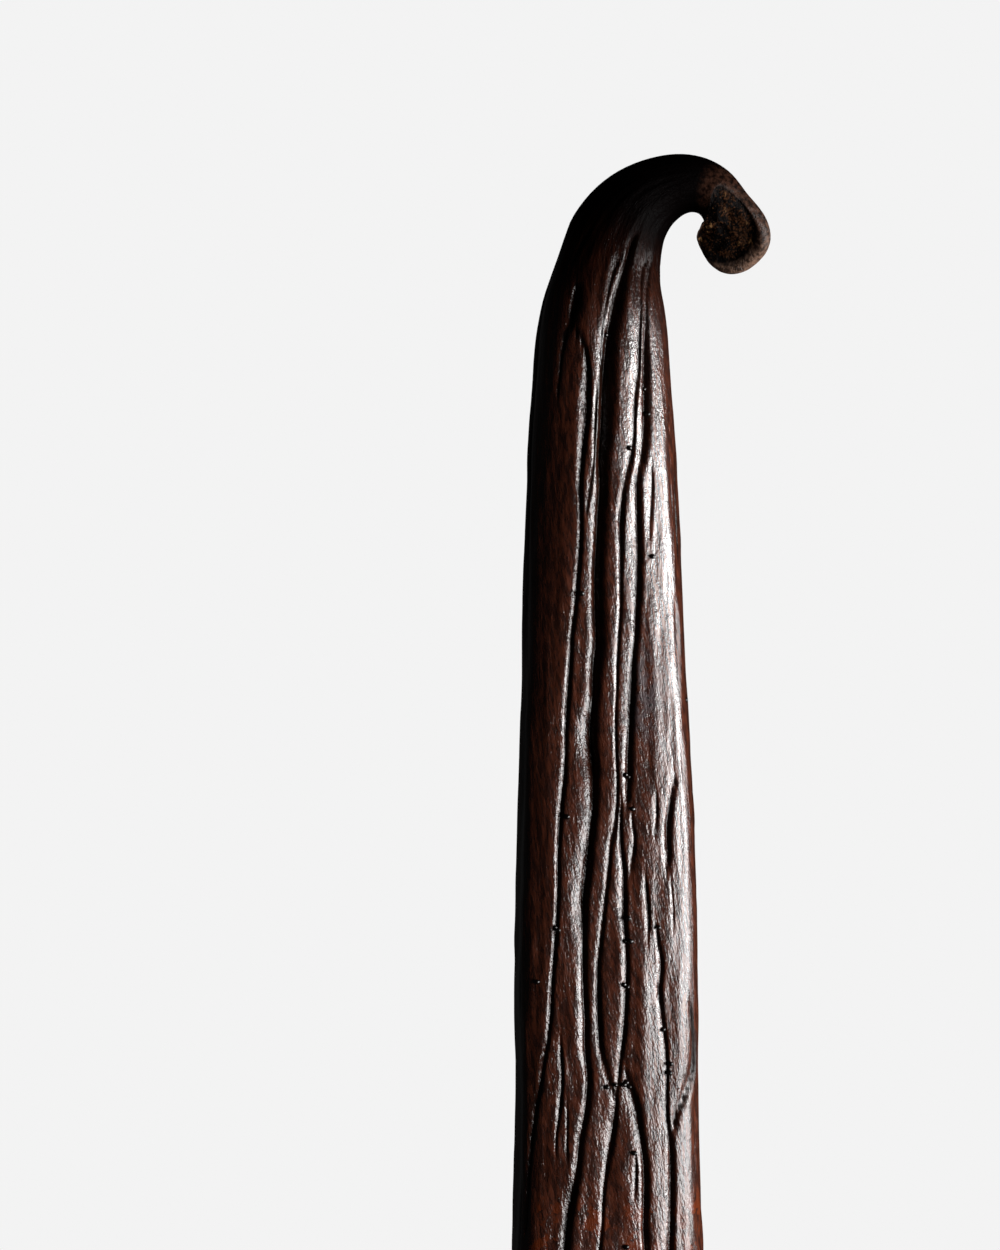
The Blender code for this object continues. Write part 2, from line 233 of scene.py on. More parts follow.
@dataclass(frozen=True)
class Crease(Fold):
    """A crease whose left side rolls over in a lip and whose right side drops into shade.

    A station is (along, angle, lip, shade), with the widths of the lip and of the shaded wall.
    """

    fade: float = 0.7
    lip_reach: float = 1.56                          # the lip's whole width over its lit width
    lip_tilt: float = 46.0                           # the lean that the lip's wall comes to
    lip_steepness: tuple[float, float] = (0.45, 2.2)
    lit_tilts: tuple[float, float] = (20.0, 53.0)    # leans that catch the side light
    steepest: float = 75.0
    least_spread: float = 0.25
    shade_steepness: float = 0.62
    deepest: float = 0.5
    least_reach: float = 0.08
    roll: float = 1.42                               # how much wider the lip rolls than it's lit
    shoulder_share: float = 0.28                     # a low shoulder stands behind the lip
    shoulder_reach: float = 2.6
    wobble: float = 0.045                            # the line wanders this far aside
    wobble_length: float = 1.3
    unevenness: float = 0.35                         # and the lip's width changes this much
    uneven_length: float = 1.7
    cells_round: int = 4
    # where a lip and a shaded wall begin and end, as shares of their widths, left to right; the
    # shaded wall's share carries painted shade
    lip_edges: tuple[float, float, float] = (-1.25, -0.6, 0.25)
    painted_shade_edges: tuple[float, float, float, float] = (-0.3, 0.1, 0.35, 1.15)
    painted_shade_depths: tuple[float, float] = (0.02, 0.12)

    def uneven(self, along: np.ndarray, line: np.ndarray, length: float,
               variant: int) -> np.ndarray:
        """Noise along the crease's line, of its own pattern for each crease.

        Args:
            along: distance along the pod.
            line: the line's angle there.
            length: size of its waves.
            variant: tells patterns of one crease apart.

        Returns:
            Values from -1 to 1.
        """
        seed = int(abs(self.first * 37.0 + self.stations[0][1] * 11.0)) + variant
        return lattice_noise(along, line, length, self.cells_round, seed)

    def walls(self, places: Places) -> tuple[np.ndarray, ...]:
        """Where the crease's two walls stand.

        Args:
            places: where to read them.

        Returns:
            (depth, offset, reach, shade): depth of the crease, distance to the right of its
            line, and the widths of its left and right walls.
        """
        along, tilt = places.along, places.tilt
        knots, angles, lips, shades = np.array(self.stations, dtype=float).T
        line = smooth_through(tuple(zip(knots, angles)), along)
        wander = self.uneven(along, line, self.wobble_length, 0)
        line = line + np.degrees(self.wobble / places.radius) * wander
        lip = np.interp(along, knots, lips) * (
            1.0 + self.unevenness * self.uneven(along, line, self.uneven_length, 1))
        shade = np.interp(along, knots, shades)
        steepness = np.clip(np.tan(np.radians(self.lip_tilt - tilt)), *self.lip_steepness)
        depth = np.maximum(0.5 * steepness * self.lip_reach * lip,
                           np.minimum(self.shade_steepness * shade, self.deepest))
        low, high = (np.tan(np.radians(np.clip(lit - tilt, 0.0, self.steepest)))
                     for lit in self.lit_tilts)
        spread = np.maximum(high - low, self.least_spread)
        reach = self.roll * np.maximum(
            np.maximum(self.lip_reach * lip, np.sqrt(2.0 * lip * depth / spread)),
            self.least_reach)
        return depth * self.ends(along), places.right_of(line), reach, shade

    def cut(self, places: Places) -> np.ndarray:
        """How deep this crease cuts.

        Args:
            places: where to read it.

        Returns:
            Depth at each place.
        """
        depth, offset, reach, shade = self.walls(places)
        lip = np.maximum(1.0 + offset / reach, 0.0) ** 3
        shoulder = np.maximum(1.0 + offset / (self.shoulder_reach * reach), 0.0) ** 2
        left = lip + self.shoulder_share * (shoulder - lip)
        right = np.maximum(1.0 - offset / shade, 0.0) ** 2
        return depth * np.where(offset < 0.0, left, right)

    def lip(self, places: Places) -> np.ndarray:
        """How much each place belongs to the lip.

        Args:
            places: where to read it.

        Returns:
            Shares from 0 to 1.
        """
        outermost, outer, inner = self.lip_edges
        _, offset, reach, shade = self.walls(places)
        return (smooth_step(outermost, outer, offset / reach)
                * smooth_step(inner, 0.0, offset / shade))

    def painted_shade(self, places: Places) -> np.ndarray:
        """How much each place belongs to the shaded wall, where shade is painted into the skin's
        colour.

        Args:
            places: where to read it.

        Returns:
            Shares from 0 to 1.
        """
        left, inner_left, inner_right, right = self.painted_shade_edges
        depth, offset, reach, shade = self.walls(places)
        return (smooth_step(left, inner_left, offset / reach)
                * smooth_step(right, inner_right, offset / shade)
                * smooth_step(*self.painted_shade_depths, depth))


FACE_CREASES = (
    # the long crease left of the middle, and the branch that leaves it at its top
    Crease(((0.8, -30, 0.03, 0.62), (1.8, -29, 0.14, 0.7), (2.8, -28, 0.15, 0.4),
            (3.2, -21, 0.07, 0.27), (4, -14, 0.16, 0.31), (4.8, -12, 0.25, 0.31),
            (6.2, -12, 0.25, 0.31), (8.5, -16, 0.18, 0.27), (12.4, -17, 0.16, 0.27),
            (16, -22, 0.13, 0.27), (18.2, -25, 0.11, 0.31), (20.4, -27, 0.18, 0.31),
            (22.1, -28, 0.2, 0.31), (23.8, -31, 0.13, 0.31), (28.4, -34, 0.14, 0.31),
            (31.3, -37, 0.1, 0.31), (33.8, -40, 0.11, 0.31), (35.5, -46, 0.13, 0.27),
            (39, -59, 0.05, 0.36), (43, -64, 0.03, 0.36))),
    Crease(((2.4, -29, 0.18, 0.22), (3.6, -35, 0.11, 0.22), (4.9, -37, 0.05, 0.18),
            (6.3, -37, 0.02, 0.13))),
    Crease(((-1.6, -30, 0.04, 0.22), (-0.8, -35, 0.05, 0.27), (0.5, -42, 0.07, 0.27))),
    # the thin crease between the two lit strands that come off the neck
    Crease(((-1, 19, 0.13, 0.07), (-0.2, 11, 0.22, 0.07), (0.6, 6, 0.2, 0.07),
            (1.8, 2, 0.2, 0.07), (3.1, -1, 0.27, 0.09), (4, -2, 0.18, 0.13),
            (5.3, -4, 0.1, 0.22), (7.1, -6, 0.09, 0.22), (8.7, -7, 0.09, 0.18),
            (10.4, -11, 0.06, 0.18), (11.6, -12, 0.03, 0.13))),
    # the deep fold at the middle
    Crease(((-2, 23, 0.11, 0.36), (-1.1, 21, 0.18, 0.36), (-0.3, 19, 0.18, 0.4),
            (0.6, 16, 0.29, 0.54), (1.6, 10, 0.2, 0.67), (2.6, 6, 0.27, 0.7),
            (3.6, 3, 0.18, 0.8), (5, 0, 0.04, 0.9), (7.1, -2, 0.02, 0.9), (8.8, -3, 0.04, 0.7),
            (9.6, -3, 0.18, 0.62), (11.8, -4, 0.2, 0.62), (12.8, -5, 0.13, 0.62),
            (15.6, -6, 0.2, 0.67), (16.8, -6, 0.36, 0.62), (18.1, -8, 0.22, 0.58),
            (19.3, -9, 0.18, 0.49), (20.2, -10, 0.4, 0.45), (22.3, -8, 0.54, 0.4),
            (24.4, -10, 0.54, 0.36), (26.4, -13, 0.45, 0.36), (28.2, -15, 0.4, 0.36),
            (30.4, -16, 0.27, 0.36), (32.9, -15, 0.18, 0.36), (34.7, -14, 0.13, 0.36),
            (37.3, -14, 0.16, 0.36), (38.6, -18, 0.18, 0.36), (40, -20, 0.22, 0.4),
            (41.1, -23, 0.36, 0.4), (43.2, -26, 0.31, 0.4), (52, -30, 0.25, 0.4),
            (70, -26, 0.2, 0.36), (88, -34, 0.1, 0.3))),
    # the crease right of the middle, with its broad soft lip near the neck
    Crease(((-1.5, 59, 0.1, 0.09), (-0.8, 49, 0.2, 0.09), (0.2, 40, 0.24, 0.11),
            (1, 38, 0.24, 0.11), (2, 36, 0.26, 0.11), (3.1, 33, 0.4, 0.13),
            (4.7, 31, 0.54, 0.13), (6.2, 26, 0.4, 0.13), (8, 23, 0.36, 0.13),
            (9.1, 19, 0.36, 0.14), (9.9, 15, 0.22, 0.22), (11.2, 12, 0.18, 0.36),
            (12.9, 11, 0.13, 0.27), (15.1, 10, 0.08, 0.22), (17.6, 8, 0.07, 0.18),
            (20.4, 6, 0.07, 0.18), (22.7, 6, 0.11, 0.18), (24.4, 5, 0.18, 0.18),
            (25.9, 1, 0.12, 0.22), (28, -2, 0.19, 0.22), (29.9, -5, 0.12, 0.22),
            (31.3, -7, 0.09, 0.27), (32.9, -7, 0.11, 0.31), (34.8, -4, 0.13, 0.27),
            (36, 0, 0.18, 0.18), (36.8, 4, 0.27, 0.22), (37.7, 3, 0.33, 0.31),
            (39.2, 0, 0.2, 0.27), (40.8, -3, 0.14, 0.18), (43, -5, 0.1, 0.18),
            (55, -9, 0.12, 0.2), (72, -3, 0.12, 0.2), (96, -6, 0.1, 0.2))),
    Crease(((-1.4, 66, 0.08, 0.11), (-0.8, 57, 0.16, 0.11), (0.4, 50, 0.2, 0.13),
            (1, 46, 0.2, 0.14), (2.4, 42, 0.14, 0.16), (3.9, 39, 0.05, 0.4),
            (5.1, 37, 0.13, 0.45), (6.9, 35, 0.36, 0.45), (8.1, 32, 0.22, 0.4),
            (9.2, 26, 0.13, 0.27), (9.9, 18, 0.09, 0.18))),
    # the strand right of it, which ends in a fork
    Crease(((8.9, 26, 0.03, 0.27), (9.4, 26, 0.31, 0.36), (10.7, 25, 0.22, 0.36),
            (12.1, 25, 0.31, 0.36), (14.4, 24, 0.31, 0.31), (15.9, 21, 0.22, 0.31),
            (17.6, 19, 0.27, 0.31), (19.2, 17, 0.29, 0.31), (20.9, 15, 0.23, 0.36),
            (22.8, 13, 0.13, 0.36), (24.1, 12, 0.11, 0.22))),
    Crease(((23.6, 17, 0.04, 0.13), (24.4, 15, 0.06, 0.13), (25.2, 17, 0.13, 0.18),
            (26.5, 14, 0.09, 0.18), (27.2, 11, 0.03, 0.13))),
    Crease(((23, 8, 0.04, 0.09), (23.6, 9, 0.1, 0.13), (24.4, 8, 0.05, 0.18),
            (25.6, 8, 0.06, 0.22), (26.7, 9, 0.18, 0.27), (28.2, 9, 0.27, 0.27),
            (30, 10, 0.18, 0.27), (32, 10, 0.19, 0.27), (33.8, 9, 0.2, 0.27),
            (34.9, 7, 0.11, 0.22), (36.3, 5, 0.11, 0.18), (36.9, 3, 0.05, 0.13))),
    # the right side
    Crease(((8.6, 38, 0.03, 0.13), (9.4, 39, 0.18, 0.13), (10.8, 37, 0.18, 0.13),
            (11.9, 35, 0.13, 0.11), (12.7, 34, 0.03, 0.09))),
    Crease(((6.4, 83, 0.04, 0.09), (8.2, 78, 0.1, 0.13), (9.8, 74, 0.13, 0.18),
            (11.8, 74, 0.12, 0.18), (13.6, 73, 0.05, 0.18))),
    Crease(((5.1, 69, 0.04, 0.08), (7.6, 65, 0.05, 0.08), (9.6, 64, 0.05, 0.09),
            (11.8, 62, 0.05, 0.08), (13.6, 60, 0.03, 0.07))),
    Crease(((0, 62, 0.03, 0.09), (1.2, 65, 0.05, 0.1), (2.4, 66, 0.05, 0.1),
            (3.7, 70, 0.03, 0.09))),
    Crease(((-0.7, 70, 0.05, 0.07), (0.7, 78, 0.07, 0.07), (2, 80, 0.07, 0.08),
            (3.3, 81, 0.04, 0.08))),
    Crease(((22.3, 56, 0.05, 0.18), (23.1, 49, 0.16, 0.27), (24.1, 44, 0.12, 0.36),
            (25.3, 41, 0.12, 0.36), (26.1, 42, 0.22, 0.31), (27, 38, 0.07, 0.22))),
    Crease(((23.1, 32, 0.05, 0.13), (23.9, 33, 0.18, 0.18), (24.7, 32, 0.13, 0.18),
            (25.6, 28, 0.05, 0.13))),
    Crease(((26.7, 43, 0.04, 0.13), (27.6, 44, 0.1, 0.13), (28.7, 45, 0.13, 0.13),
            (29.6, 44, 0.05, 0.13))),
    Crease(((26.6, 23, 0.04, 0.13), (27.6, 24, 0.18, 0.18), (28.9, 25, 0.22, 0.18),
            (30.1, 23, 0.09, 0.13))),
    # the long crease of the right side, broad lipped where it ends
    Crease(((28.8, 30, 0.05, 0.18), (29.8, 31, 0.12, 0.22), (30.9, 34, 0.22, 0.27),
            (32, 32, 0.11, 0.31), (33, 34, 0.12, 0.27), (34.2, 37, 0.2, 0.22),
            (35.5, 39, 0.18, 0.18), (36.4, 39, 0.18, 0.18), (37.6, 39, 0.2, 0.27),
            (39.1, 42, 0.27, 0.36), (40.7, 42, 0.4, 0.4), (42.4, 40, 0.36, 0.4),
            (46, 40, 0.3, 0.4), (58, 46, 0.2, 0.3), (76, 38, 0.1, 0.3))),
    Crease(((32.2, 62, 0.05, 0.2), (33.8, 66, 0.09, 0.28), (34.8, 69, 0.13, 0.3),
            (35.7, 66, 0.16, 0.34), (36.6, 56, 0.2, 0.36), (37.4, 48, 0.16, 0.36),
            (38.4, 42, 0.09, 0.3))),
    # the lower left and the lower middle
    Crease(((33.7, -31, 0.03, 0.13), (34.8, -31, 0.12, 0.18), (35.7, -30, 0.14, 0.18),
            (37.2, -32, 0.16, 0.18), (38.4, -34, 0.11, 0.13), (39.6, -34, 0.05, 0.13))),
    Crease(((36.4, -26, 0.03, 0.09), (37.8, -26, 0.09, 0.13), (39, -26, 0.13, 0.13),
            (39.9, -25, 0.09, 0.13))),
    Crease(((35, 9, 0.03, 0.18), (35.8, 11, 0.09, 0.22), (36.6, 15, 0.29, 0.31),
            (37.7, 18, 0.4, 0.36), (38.8, 20, 0.36, 0.36), (39.8, 21, 0.05, 0.4),
            (41, 21, 0.06, 0.4), (43.1, 21, 0.05, 0.4), (54, 17, 0.12, 0.3),
            (64, 24, 0.1, 0.2))),
    Crease(((38.9, 15, 0.05, 0.09), (39.6, 16, 0.27, 0.13), (40.7, 15, 0.25, 0.13),
            (41.2, 14, 0.05, 0.09))),
)


@dataclass
class FurrowHabit:
    """How furrows run where they are not listed one by one: on the back and down the length."""

    seed: int = 11
    lanes: int = 15
    lane_jitter: float = 6.0
    face_half_angle: float = 74.0
    face_ends: float = 45.0
    back_begins: float = -4.0
    run_length: tuple[float, float] = (24.0, 62.0)
    run_overlap: tuple[float, float] = (0.78, 1.0)
    spacing: float = 6.5                             # of a furrow's stations
    wander: float = 5.0
    wander_limit: float = 11.0
    depth: tuple[float, float] = (0.24, 0.72)
    width: tuple[float, float] = (0.28, 0.46)
    fork_chance: float = 0.55
    fork_length: tuple[float, float] = (9.0, 17.0)
    fork_turn: tuple[float, float] = (11.0, 17.0)
    fork_knee: tuple[float, float] = (0.4, 0.7)      # shares of its length and turn at the knee
    fork_depth: float = 0.7                          # and its depth and width as shares of those
    fork_width: float = 0.85                         # of the furrow that it leaves

    def grow(self, body_length: float) -> tuple[Furrow, ...]:
        """Draws the furrows from the seed.

        Args:
            body_length: length from the neck to the blossom tip.

        Returns:
            The furrows with their forks.
        """
        draw = random.Random(self.seed)
        furrows = []
        for lane in range(self.lanes):
            home = ((lane + 0.5) * 360.0 / self.lanes - 180.0
                    + draw.uniform(-self.lane_jitter, self.lane_jitter))
            start = self.face_ends if abs(home) < self.face_half_angle else self.back_begins
            start += draw.uniform(0.0, self.spacing)
            drift = 0.0
            while start < body_length - 2.0 * self.spacing:
                end = min(start + draw.uniform(*self.run_length), body_length)
                depth, width = draw.uniform(*self.depth), draw.uniform(*self.width)
                stations = []
                count = max(3, int((end - start) / self.spacing))
                for place in np.linspace(start, end, count):
                    drift += draw.uniform(-self.wander, self.wander)
                    drift = max(-self.wander_limit, min(self.wander_limit, drift))
                    stations.append((float(place), home + drift))
                furrow = Furrow(tuple(stations), depth=depth, width=width)
                furrows.append(furrow)
                if draw.random() < self.fork_chance:
                    furrows.append(self.fork(draw, furrow))
                start += (end - start) * draw.uniform(*self.run_overlap)
        return tuple(furrows)

    def fork(self, draw: random.Random, stem: Furrow) -> Furrow:
        """A shallower furrow that leaves another at its middle.

        Args:
            draw: the seeded source of numbers.
            stem: the furrow that it leaves.

        Returns:
            The branch.
        """
        place, angle = stem.stations[len(stem.stations) // 2]
        reach = draw.uniform(*self.fork_length)
        turn = draw.uniform(*self.fork_turn) * draw.choice((-1.0, 1.0))
        knee = (place + self.fork_knee[0] * reach, angle + self.fork_knee[1] * turn)
        return Furrow(((place, angle), knee, (place + reach, angle + turn)),
                      depth=self.fork_depth * stem.depth, width=self.fork_width * stem.width)


@dataclass(frozen=True)
class Bumps:
    """One layer of the skin's low relief: how high its bumps are, and how long and wide."""

    height: float
    length: float
    width: float
    seed: int

    def read(self, along: np.ndarray, angle: np.ndarray, girth: float) -> np.ndarray:
        """The layer's height.

        Args:
            along: distance along the pod.
            angle: angle round the pod.
            girth: how far it is round the pod.

        Returns:
            Height at each place, above or below zero.
        """
        cells_round = round(girth / self.width)
        return self.height * lattice_noise(along, angle, self.length, cells_round, self.seed)


@dataclass
class PodForm:
    """The pod's centre line, sections, furrows and ends, as in the solid."""

    # centre line
    body_length: float = 152.0
    hook_length: float = 10.7
    hook_bend: float = 31.0
    hook_bend_from: float = 4.7
    hook_bend_full: float = -11.0
    straight_to: float = 42.0
    bow_bend: float = -0.19
    bow_full: float = 80.0
    sway: float = 0.25
    sway_from: float = 8.0
    sway_to: float = 32.0
    spine_step: float = 0.1
    heights: tuple[tuple[float, float], ...] = (
        (-10.7, 4.1), (-9.5, 3.65), (-7.8, 3.25), (-5.0, 3.1), (0.0, 3.0), (20.0, 2.8),
        (75.0, 2.85), (120.0, 2.5), (140.0, 2.35), (152.0, 2.6))
    # cross-section
    widths: tuple[tuple[float, float], ...] = (
        (-10.7, 3.5), (-9.4, 3.6), (-8.6, 3.15), (-7.8, 2.5), (-6.9, 2.45), (-5.3, 2.88),
        (-2.6, 4.0), (0.0, 5.05), (1.5, 5.8), (5.4, 6.65), (10.0, 7.2), (19.0, 7.7), (27.0, 8.2),
        (33.0, 8.4), (37.0, 8.25), (44.0, 8.7), (75.0, 9.0), (110.0, 8.3), (133.0, 6.7),
        (146.0, 4.7), (152.0, 3.4))
    aside: tuple[tuple[float, float], ...] = (
        (-10.7, 0.3), (-9.4, 0.13), (-8.6, 0.12), (-7.8, 0.1), (-6.8, -0.08), (-4.5, 0.0),
        (-3.0, 0.0), (0.0, 0.0), (152.0, 0.0))
    hook_flatness: float = 1.0
    body_flatness: float = 0.69
    flattens_from: float = -5.0
    flattens_to: float = 14.0
    three_sided: float = 0.025
    squareness: tuple[tuple[float, float], ...] = (
        (-5.0, 2.0), (5.0, 2.2), (12.0, 2.5), (16.0, 2.9), (20.0, 3.8), (42.0, 4.0),
        (100.0, 3.2), (152.0, 2.4))
    lobe_height: float = 0.25
    lobe_at: tuple[float, float] = (-9.2, -84.0)
    lobe_spread: tuple[float, float] = (0.6, 30.0)
    # ends
    slant_from: float = -4.5
    slant_reach: float = 1.5
    scar_scale: float = 0.6
    scar_from: float = -9.5
    scar_full: float = -10.5
    scar_depth: float = 0.3
    torn_at: tuple[float, float] = (0.22, 0.2)
    torn_reach: tuple[float, float] = (0.72, 0.98)
    torn_edge: tuple[float, float] = (1.2, 0.8)
    groove_depth: float = 0.2
    groove_width: float = 0.16
    groove_ends: tuple[float, float] = (0.3, -0.3)   # it lies on the outer side alone
    swell_height: float = 0.16
    swell_at: tuple[float, float] = (-0.66, 0.0)
    swell_spread: float = 0.34
    rim_round: float = 0.9
    tip_round: float = 2.4
    # relief
    merge_power: float = 3.0                         # where folds meet, the deeper one wins
    tip_smooth: float = 5.0
    flat_back: tuple[float, float] = (140.0, 168.0)
    pressed_depth: float = 0.15
    girth: float = 22.0
    skin_bumps: tuple[Bumps, ...] = (
        Bumps(0.055, 5.5, 1.1, 21), Bumps(0.030, 2.0, 0.42, 22), Bumps(0.014, 0.9, 0.24, 23))
    streaks: Bumps = Bumps(0.035, 3.6, 0.62, 24)     # lengthwise, and only lower down
    torn_bumps: tuple[Bumps, ...] = (Bumps(0.10, 0.5, 0.5, 31), Bumps(0.08, 0.24, 0.24, 32))
    torn_radius: float = 1.5
    torn_girth: float = 10.0
    calm_stem: tuple[float, float, float] = (-9.0, -1.0, 0.25)    # the hook's relief is lower
    lower_down: tuple[float, float] = (8.0, 34.0)
    past_shown: tuple[float, float] = (46.0, 62.0)
    sunk: float = 0.07                               # keeps the relief inside the solid's box
    sunk_below: float = 0.13
    side_swell: float = 0.07
    furrows: tuple[Furrow | Crease, ...] = ()
    offset: np.ndarray = field(default_factory=lambda: np.zeros(3))

    def spine(self) -> tuple[np.ndarray, np.ndarray]:
        """The centre line from the scar to the blossom tip.

        Returns:
            (along, points), in steps of spine_step.
        """
        along = np.arange(-self.hook_length, self.body_length + self.spine_step, self.spine_step)
        bend = (self.hook_bend * smooth_step(self.hook_bend_from, self.hook_bend_full, along)
                + self.bow_bend * smooth_step(self.straight_to, self.bow_full, along))
        turn = np.cumsum(bend[::-1])[::-1] * self.spine_step
        turn = np.radians(turn - np.interp(0.5 * self.straight_to, along, turn))
        plan = -np.cumsum(np.column_stack((np.sin(turn), np.cos(turn))), axis=0) * self.spine_step
        plan -= plan[np.searchsorted(along, 0.0)]
        plan[:, 0] += self.sway * smooth_step(self.sway_from, self.sway_to, along)
        return along, np.column_stack((plan, smooth_through(self.heights, along)))

    def frames(self, along: np.ndarray) -> tuple[np.ndarray, ...]:
        """Places on the centre line with the unit vectors towards the stem, to the side and up.

        Args:
            along: distances along the pod.

        Returns:
            (points, stemward, side, above), one row for each distance.
        """
        table_along, table_points = self.spine()
        slopes = -np.gradient(table_points, self.spine_step, axis=0)

        def at(columns: np.ndarray) -> np.ndarray:
            """The table's columns read at the distances."""
            return np.column_stack([np.interp(along, table_along, c) for c in columns.T])

        stemward = at(slopes)
        stemward /= np.linalg.norm(stemward, axis=1, keepdims=True)
        side = np.column_stack((stemward[:, 1], -stemward[:, 0], np.zeros(len(along))))
        side /= np.linalg.norm(side, axis=1, keepdims=True)
        return at(table_points), stemward, side, np.cross(side, stemward)

    def section(self, along: np.ndarray) -> tuple[np.ndarray, np.ndarray]:
        """The section's size.

        Args:
            along: distances along the pod.

        Returns:
            Half the width and half the thickness at each distance.
        """
        half_width = 0.5 * smooth_through(self.widths, along)
        flattening = smooth_step(self.flattens_from, self.flattens_to, along)
        flatness = self.hook_flatness + (self.body_flatness - self.hook_flatness) * flattening
        return half_width, half_width * flatness

    def wall(self, along: np.ndarray, angle: np.ndarray) -> tuple[np.ndarray, np.ndarray]:
        """The section's plain wall, before anything is cut into it.

        Args:
            along: distance along the pod.
            angle: angle round the pod.

        Returns:
            Places and outward directions in the section's plane, as (across, up) columns.
        """
        turned = np.radians(angle)
        half_width, half_height = self.section(along)
        power = smooth_through(self.squareness, along)
        sides = 1.0 + self.three_sided * np.cos(3.0 * turned)
        out = np.sin(turned)
        up = np.sign(np.cos(turned)) * (1.0 - np.abs(out) ** power) ** (1.0 / power)
        places = np.column_stack((half_width * out * sides, half_height * up * sides))
        facing = np.column_stack((np.sign(out) * np.abs(out) ** (power - 1.0) / half_width,
                                  np.sign(up) * np.abs(up) ** (power - 1.0) / half_height))
        return places, facing / np.linalg.norm(facing, axis=1, keepdims=True)

    def laid_out(self, along: np.ndarray, angle: np.ndarray, level_with: np.ndarray) -> Places:
        """Gathers what the folds need to know at each place.

        Args:
            along: distance along the pod.
            angle: angle round the pod.
            level_with: distance along at which the section is read; the slant of the stem end
                shifts it.

        Returns:
            The places.
        """
        turned = np.radians(angle)
        half_width, half_height = self.section(level_with)
        radius = np.hypot(half_width * np.cos(turned), half_height * np.sin(turned))
        across, up = self.wall(level_with, angle)[1].T
        return Places(along, angle, radius, np.degrees(np.arctan2(across, up)))

    def furrow_relief(self, places: Places) -> np.ndarray:
        """How deep all the furrows and creases cut together.

        Args:
            places: where to read it.

        Returns:
            Depth at each place; where furrows meet, the deeper one wins.
        """
        total = np.zeros(len(places.along))
        for furrow in self.furrows:
            near = (places.along > furrow.first) & (places.along < furrow.last)
            if near.any():
                total[near] += furrow.cut(places.pick(near)) ** self.merge_power
        shallow = smooth_step(*self.flat_back, np.abs(places.angle))
        pressed = 1.0 - (1.0 - self.pressed_depth) * shallow
        blossom = smooth_step(self.body_length - 0.2 * self.tip_smooth,
                              self.body_length - self.tip_smooth, places.along)
        return total ** (1.0 / self.merge_power) * pressed * blossom

    def lip_and_painted_shade_shares(self, along: np.ndarray, angle: np.ndarray) -> tuple[np.ndarray, np.ndarray]:
        """How much each place belongs to a lip and to a shaded wall, where shade is painted.

        Args:
            along: distance along the pod.
            angle: angle round the pod.

        Returns:
            The lips' shares and the shaded walls' shares, where shade is painted, from 0 to 1 each.
        """
        places = self.laid_out(along, angle, along)
        lips, painted_shades = np.zeros(len(along)), np.zeros(len(along))
        for furrow in self.furrows:
            near = (along > furrow.first) & (along < furrow.last)
            if near.any():
                there = places.pick(near)
                lips[near] = np.maximum(lips[near], furrow.lip(there))
                painted_shades[near] = np.maximum(painted_shades[near], furrow.painted_shade(there))
        return lips, painted_shades

    def fine_relief(self, along: np.ndarray, angle: np.ndarray) -> np.ndarray:
        """Pillows, crinkles and streaks of the skin between the furrows.

        Args:
            along: distance along the pod.
            angle: angle round the pod.

        Returns:
            Height at each place, above or below zero.
        """
        lower = smooth_step(*self.lower_down, along)
        past = smooth_step(*self.past_shown, along)
        sideways = lower * (1.0 - past) * np.sin(np.radians(angle)) ** 2
        sunk = ((self.sunk + self.sunk_below * past) * (1.0 - sideways)
                - self.side_swell * sideways)
        height = lower * self.streaks.read(along, angle, self.girth)
        for bumps in self.skin_bumps:
            height += bumps.read(along, angle, self.girth)
        calm_to, lively_from, calm = self.calm_stem
        return height * (calm + (1.0 - calm) * smooth_step(calm_to, lively_from, along)) - sunk

    def off_torn(self, angle: np.ndarray, scale: np.ndarray) -> np.ndarray:
        """How far each place of the end face is from the torn bowl's middle.

        Args:
            angle: angle round the pod.
            scale: share of the section's full radius.

        Returns:
            The distance as a share of the bowl's reach.
        """
        turned = np.radians(angle)
        return np.hypot((scale * np.sin(turned) - self.torn_at[0]) / self.torn_reach[0],
                        (scale * np.cos(turned) - self.torn_at[1]) / self.torn_reach[1])

    def torn_share(self, along: np.ndarray, angle: np.ndarray, scale: np.ndarray) -> np.ndarray:
        """How torn each place is.

        Args:
            along: distance along the pod.
            angle: angle round the pod.
            scale: share of the section's full radius.

        Returns:
            1 within the scar's torn middle and 0 on whole skin.
        """
        return (smooth_step(*self.torn_edge, self.off_torn(angle, scale))
                * smooth_step(self.scar_from, self.scar_full, along))

    def scar_relief(self, along: np.ndarray, angle: np.ndarray, scale: np.ndarray) -> np.ndarray:
        """How far the scar's end face is sunk at each place.

        Args:
            along: distance along the pod.
            angle: angle round the pod.
            scale: share of the section's full radius.

        Returns:
            Depth of the torn bowl, of the groove round it and of the swelling beside it.
        """
        turned = np.radians(angle)
        inward, upward = scale * np.sin(turned), scale * np.cos(turned)
        off_middle = self.off_torn(angle, scale)
        end = smooth_step(self.scar_from, self.scar_full, along)
        torn = smooth_step(*self.torn_edge, off_middle)
        groove = (np.exp(-((off_middle - 1.0) / self.groove_width) ** 2)
                  * smooth_step(*self.groove_ends, inward))
        off_swell = np.hypot(inward - self.swell_at[0], upward - self.swell_at[1])
        swell = np.exp(-(off_swell / self.swell_spread) ** 2)
        depth = np.full(len(along), self.scar_depth)
        for bumps in self.torn_bumps:
            depth += bumps.read(self.torn_radius * inward,
                                360.0 * self.torn_radius / self.torn_girth * upward,
                                self.torn_girth)
        return end * (torn * depth + self.groove_depth * groove - self.swell_height * swell)

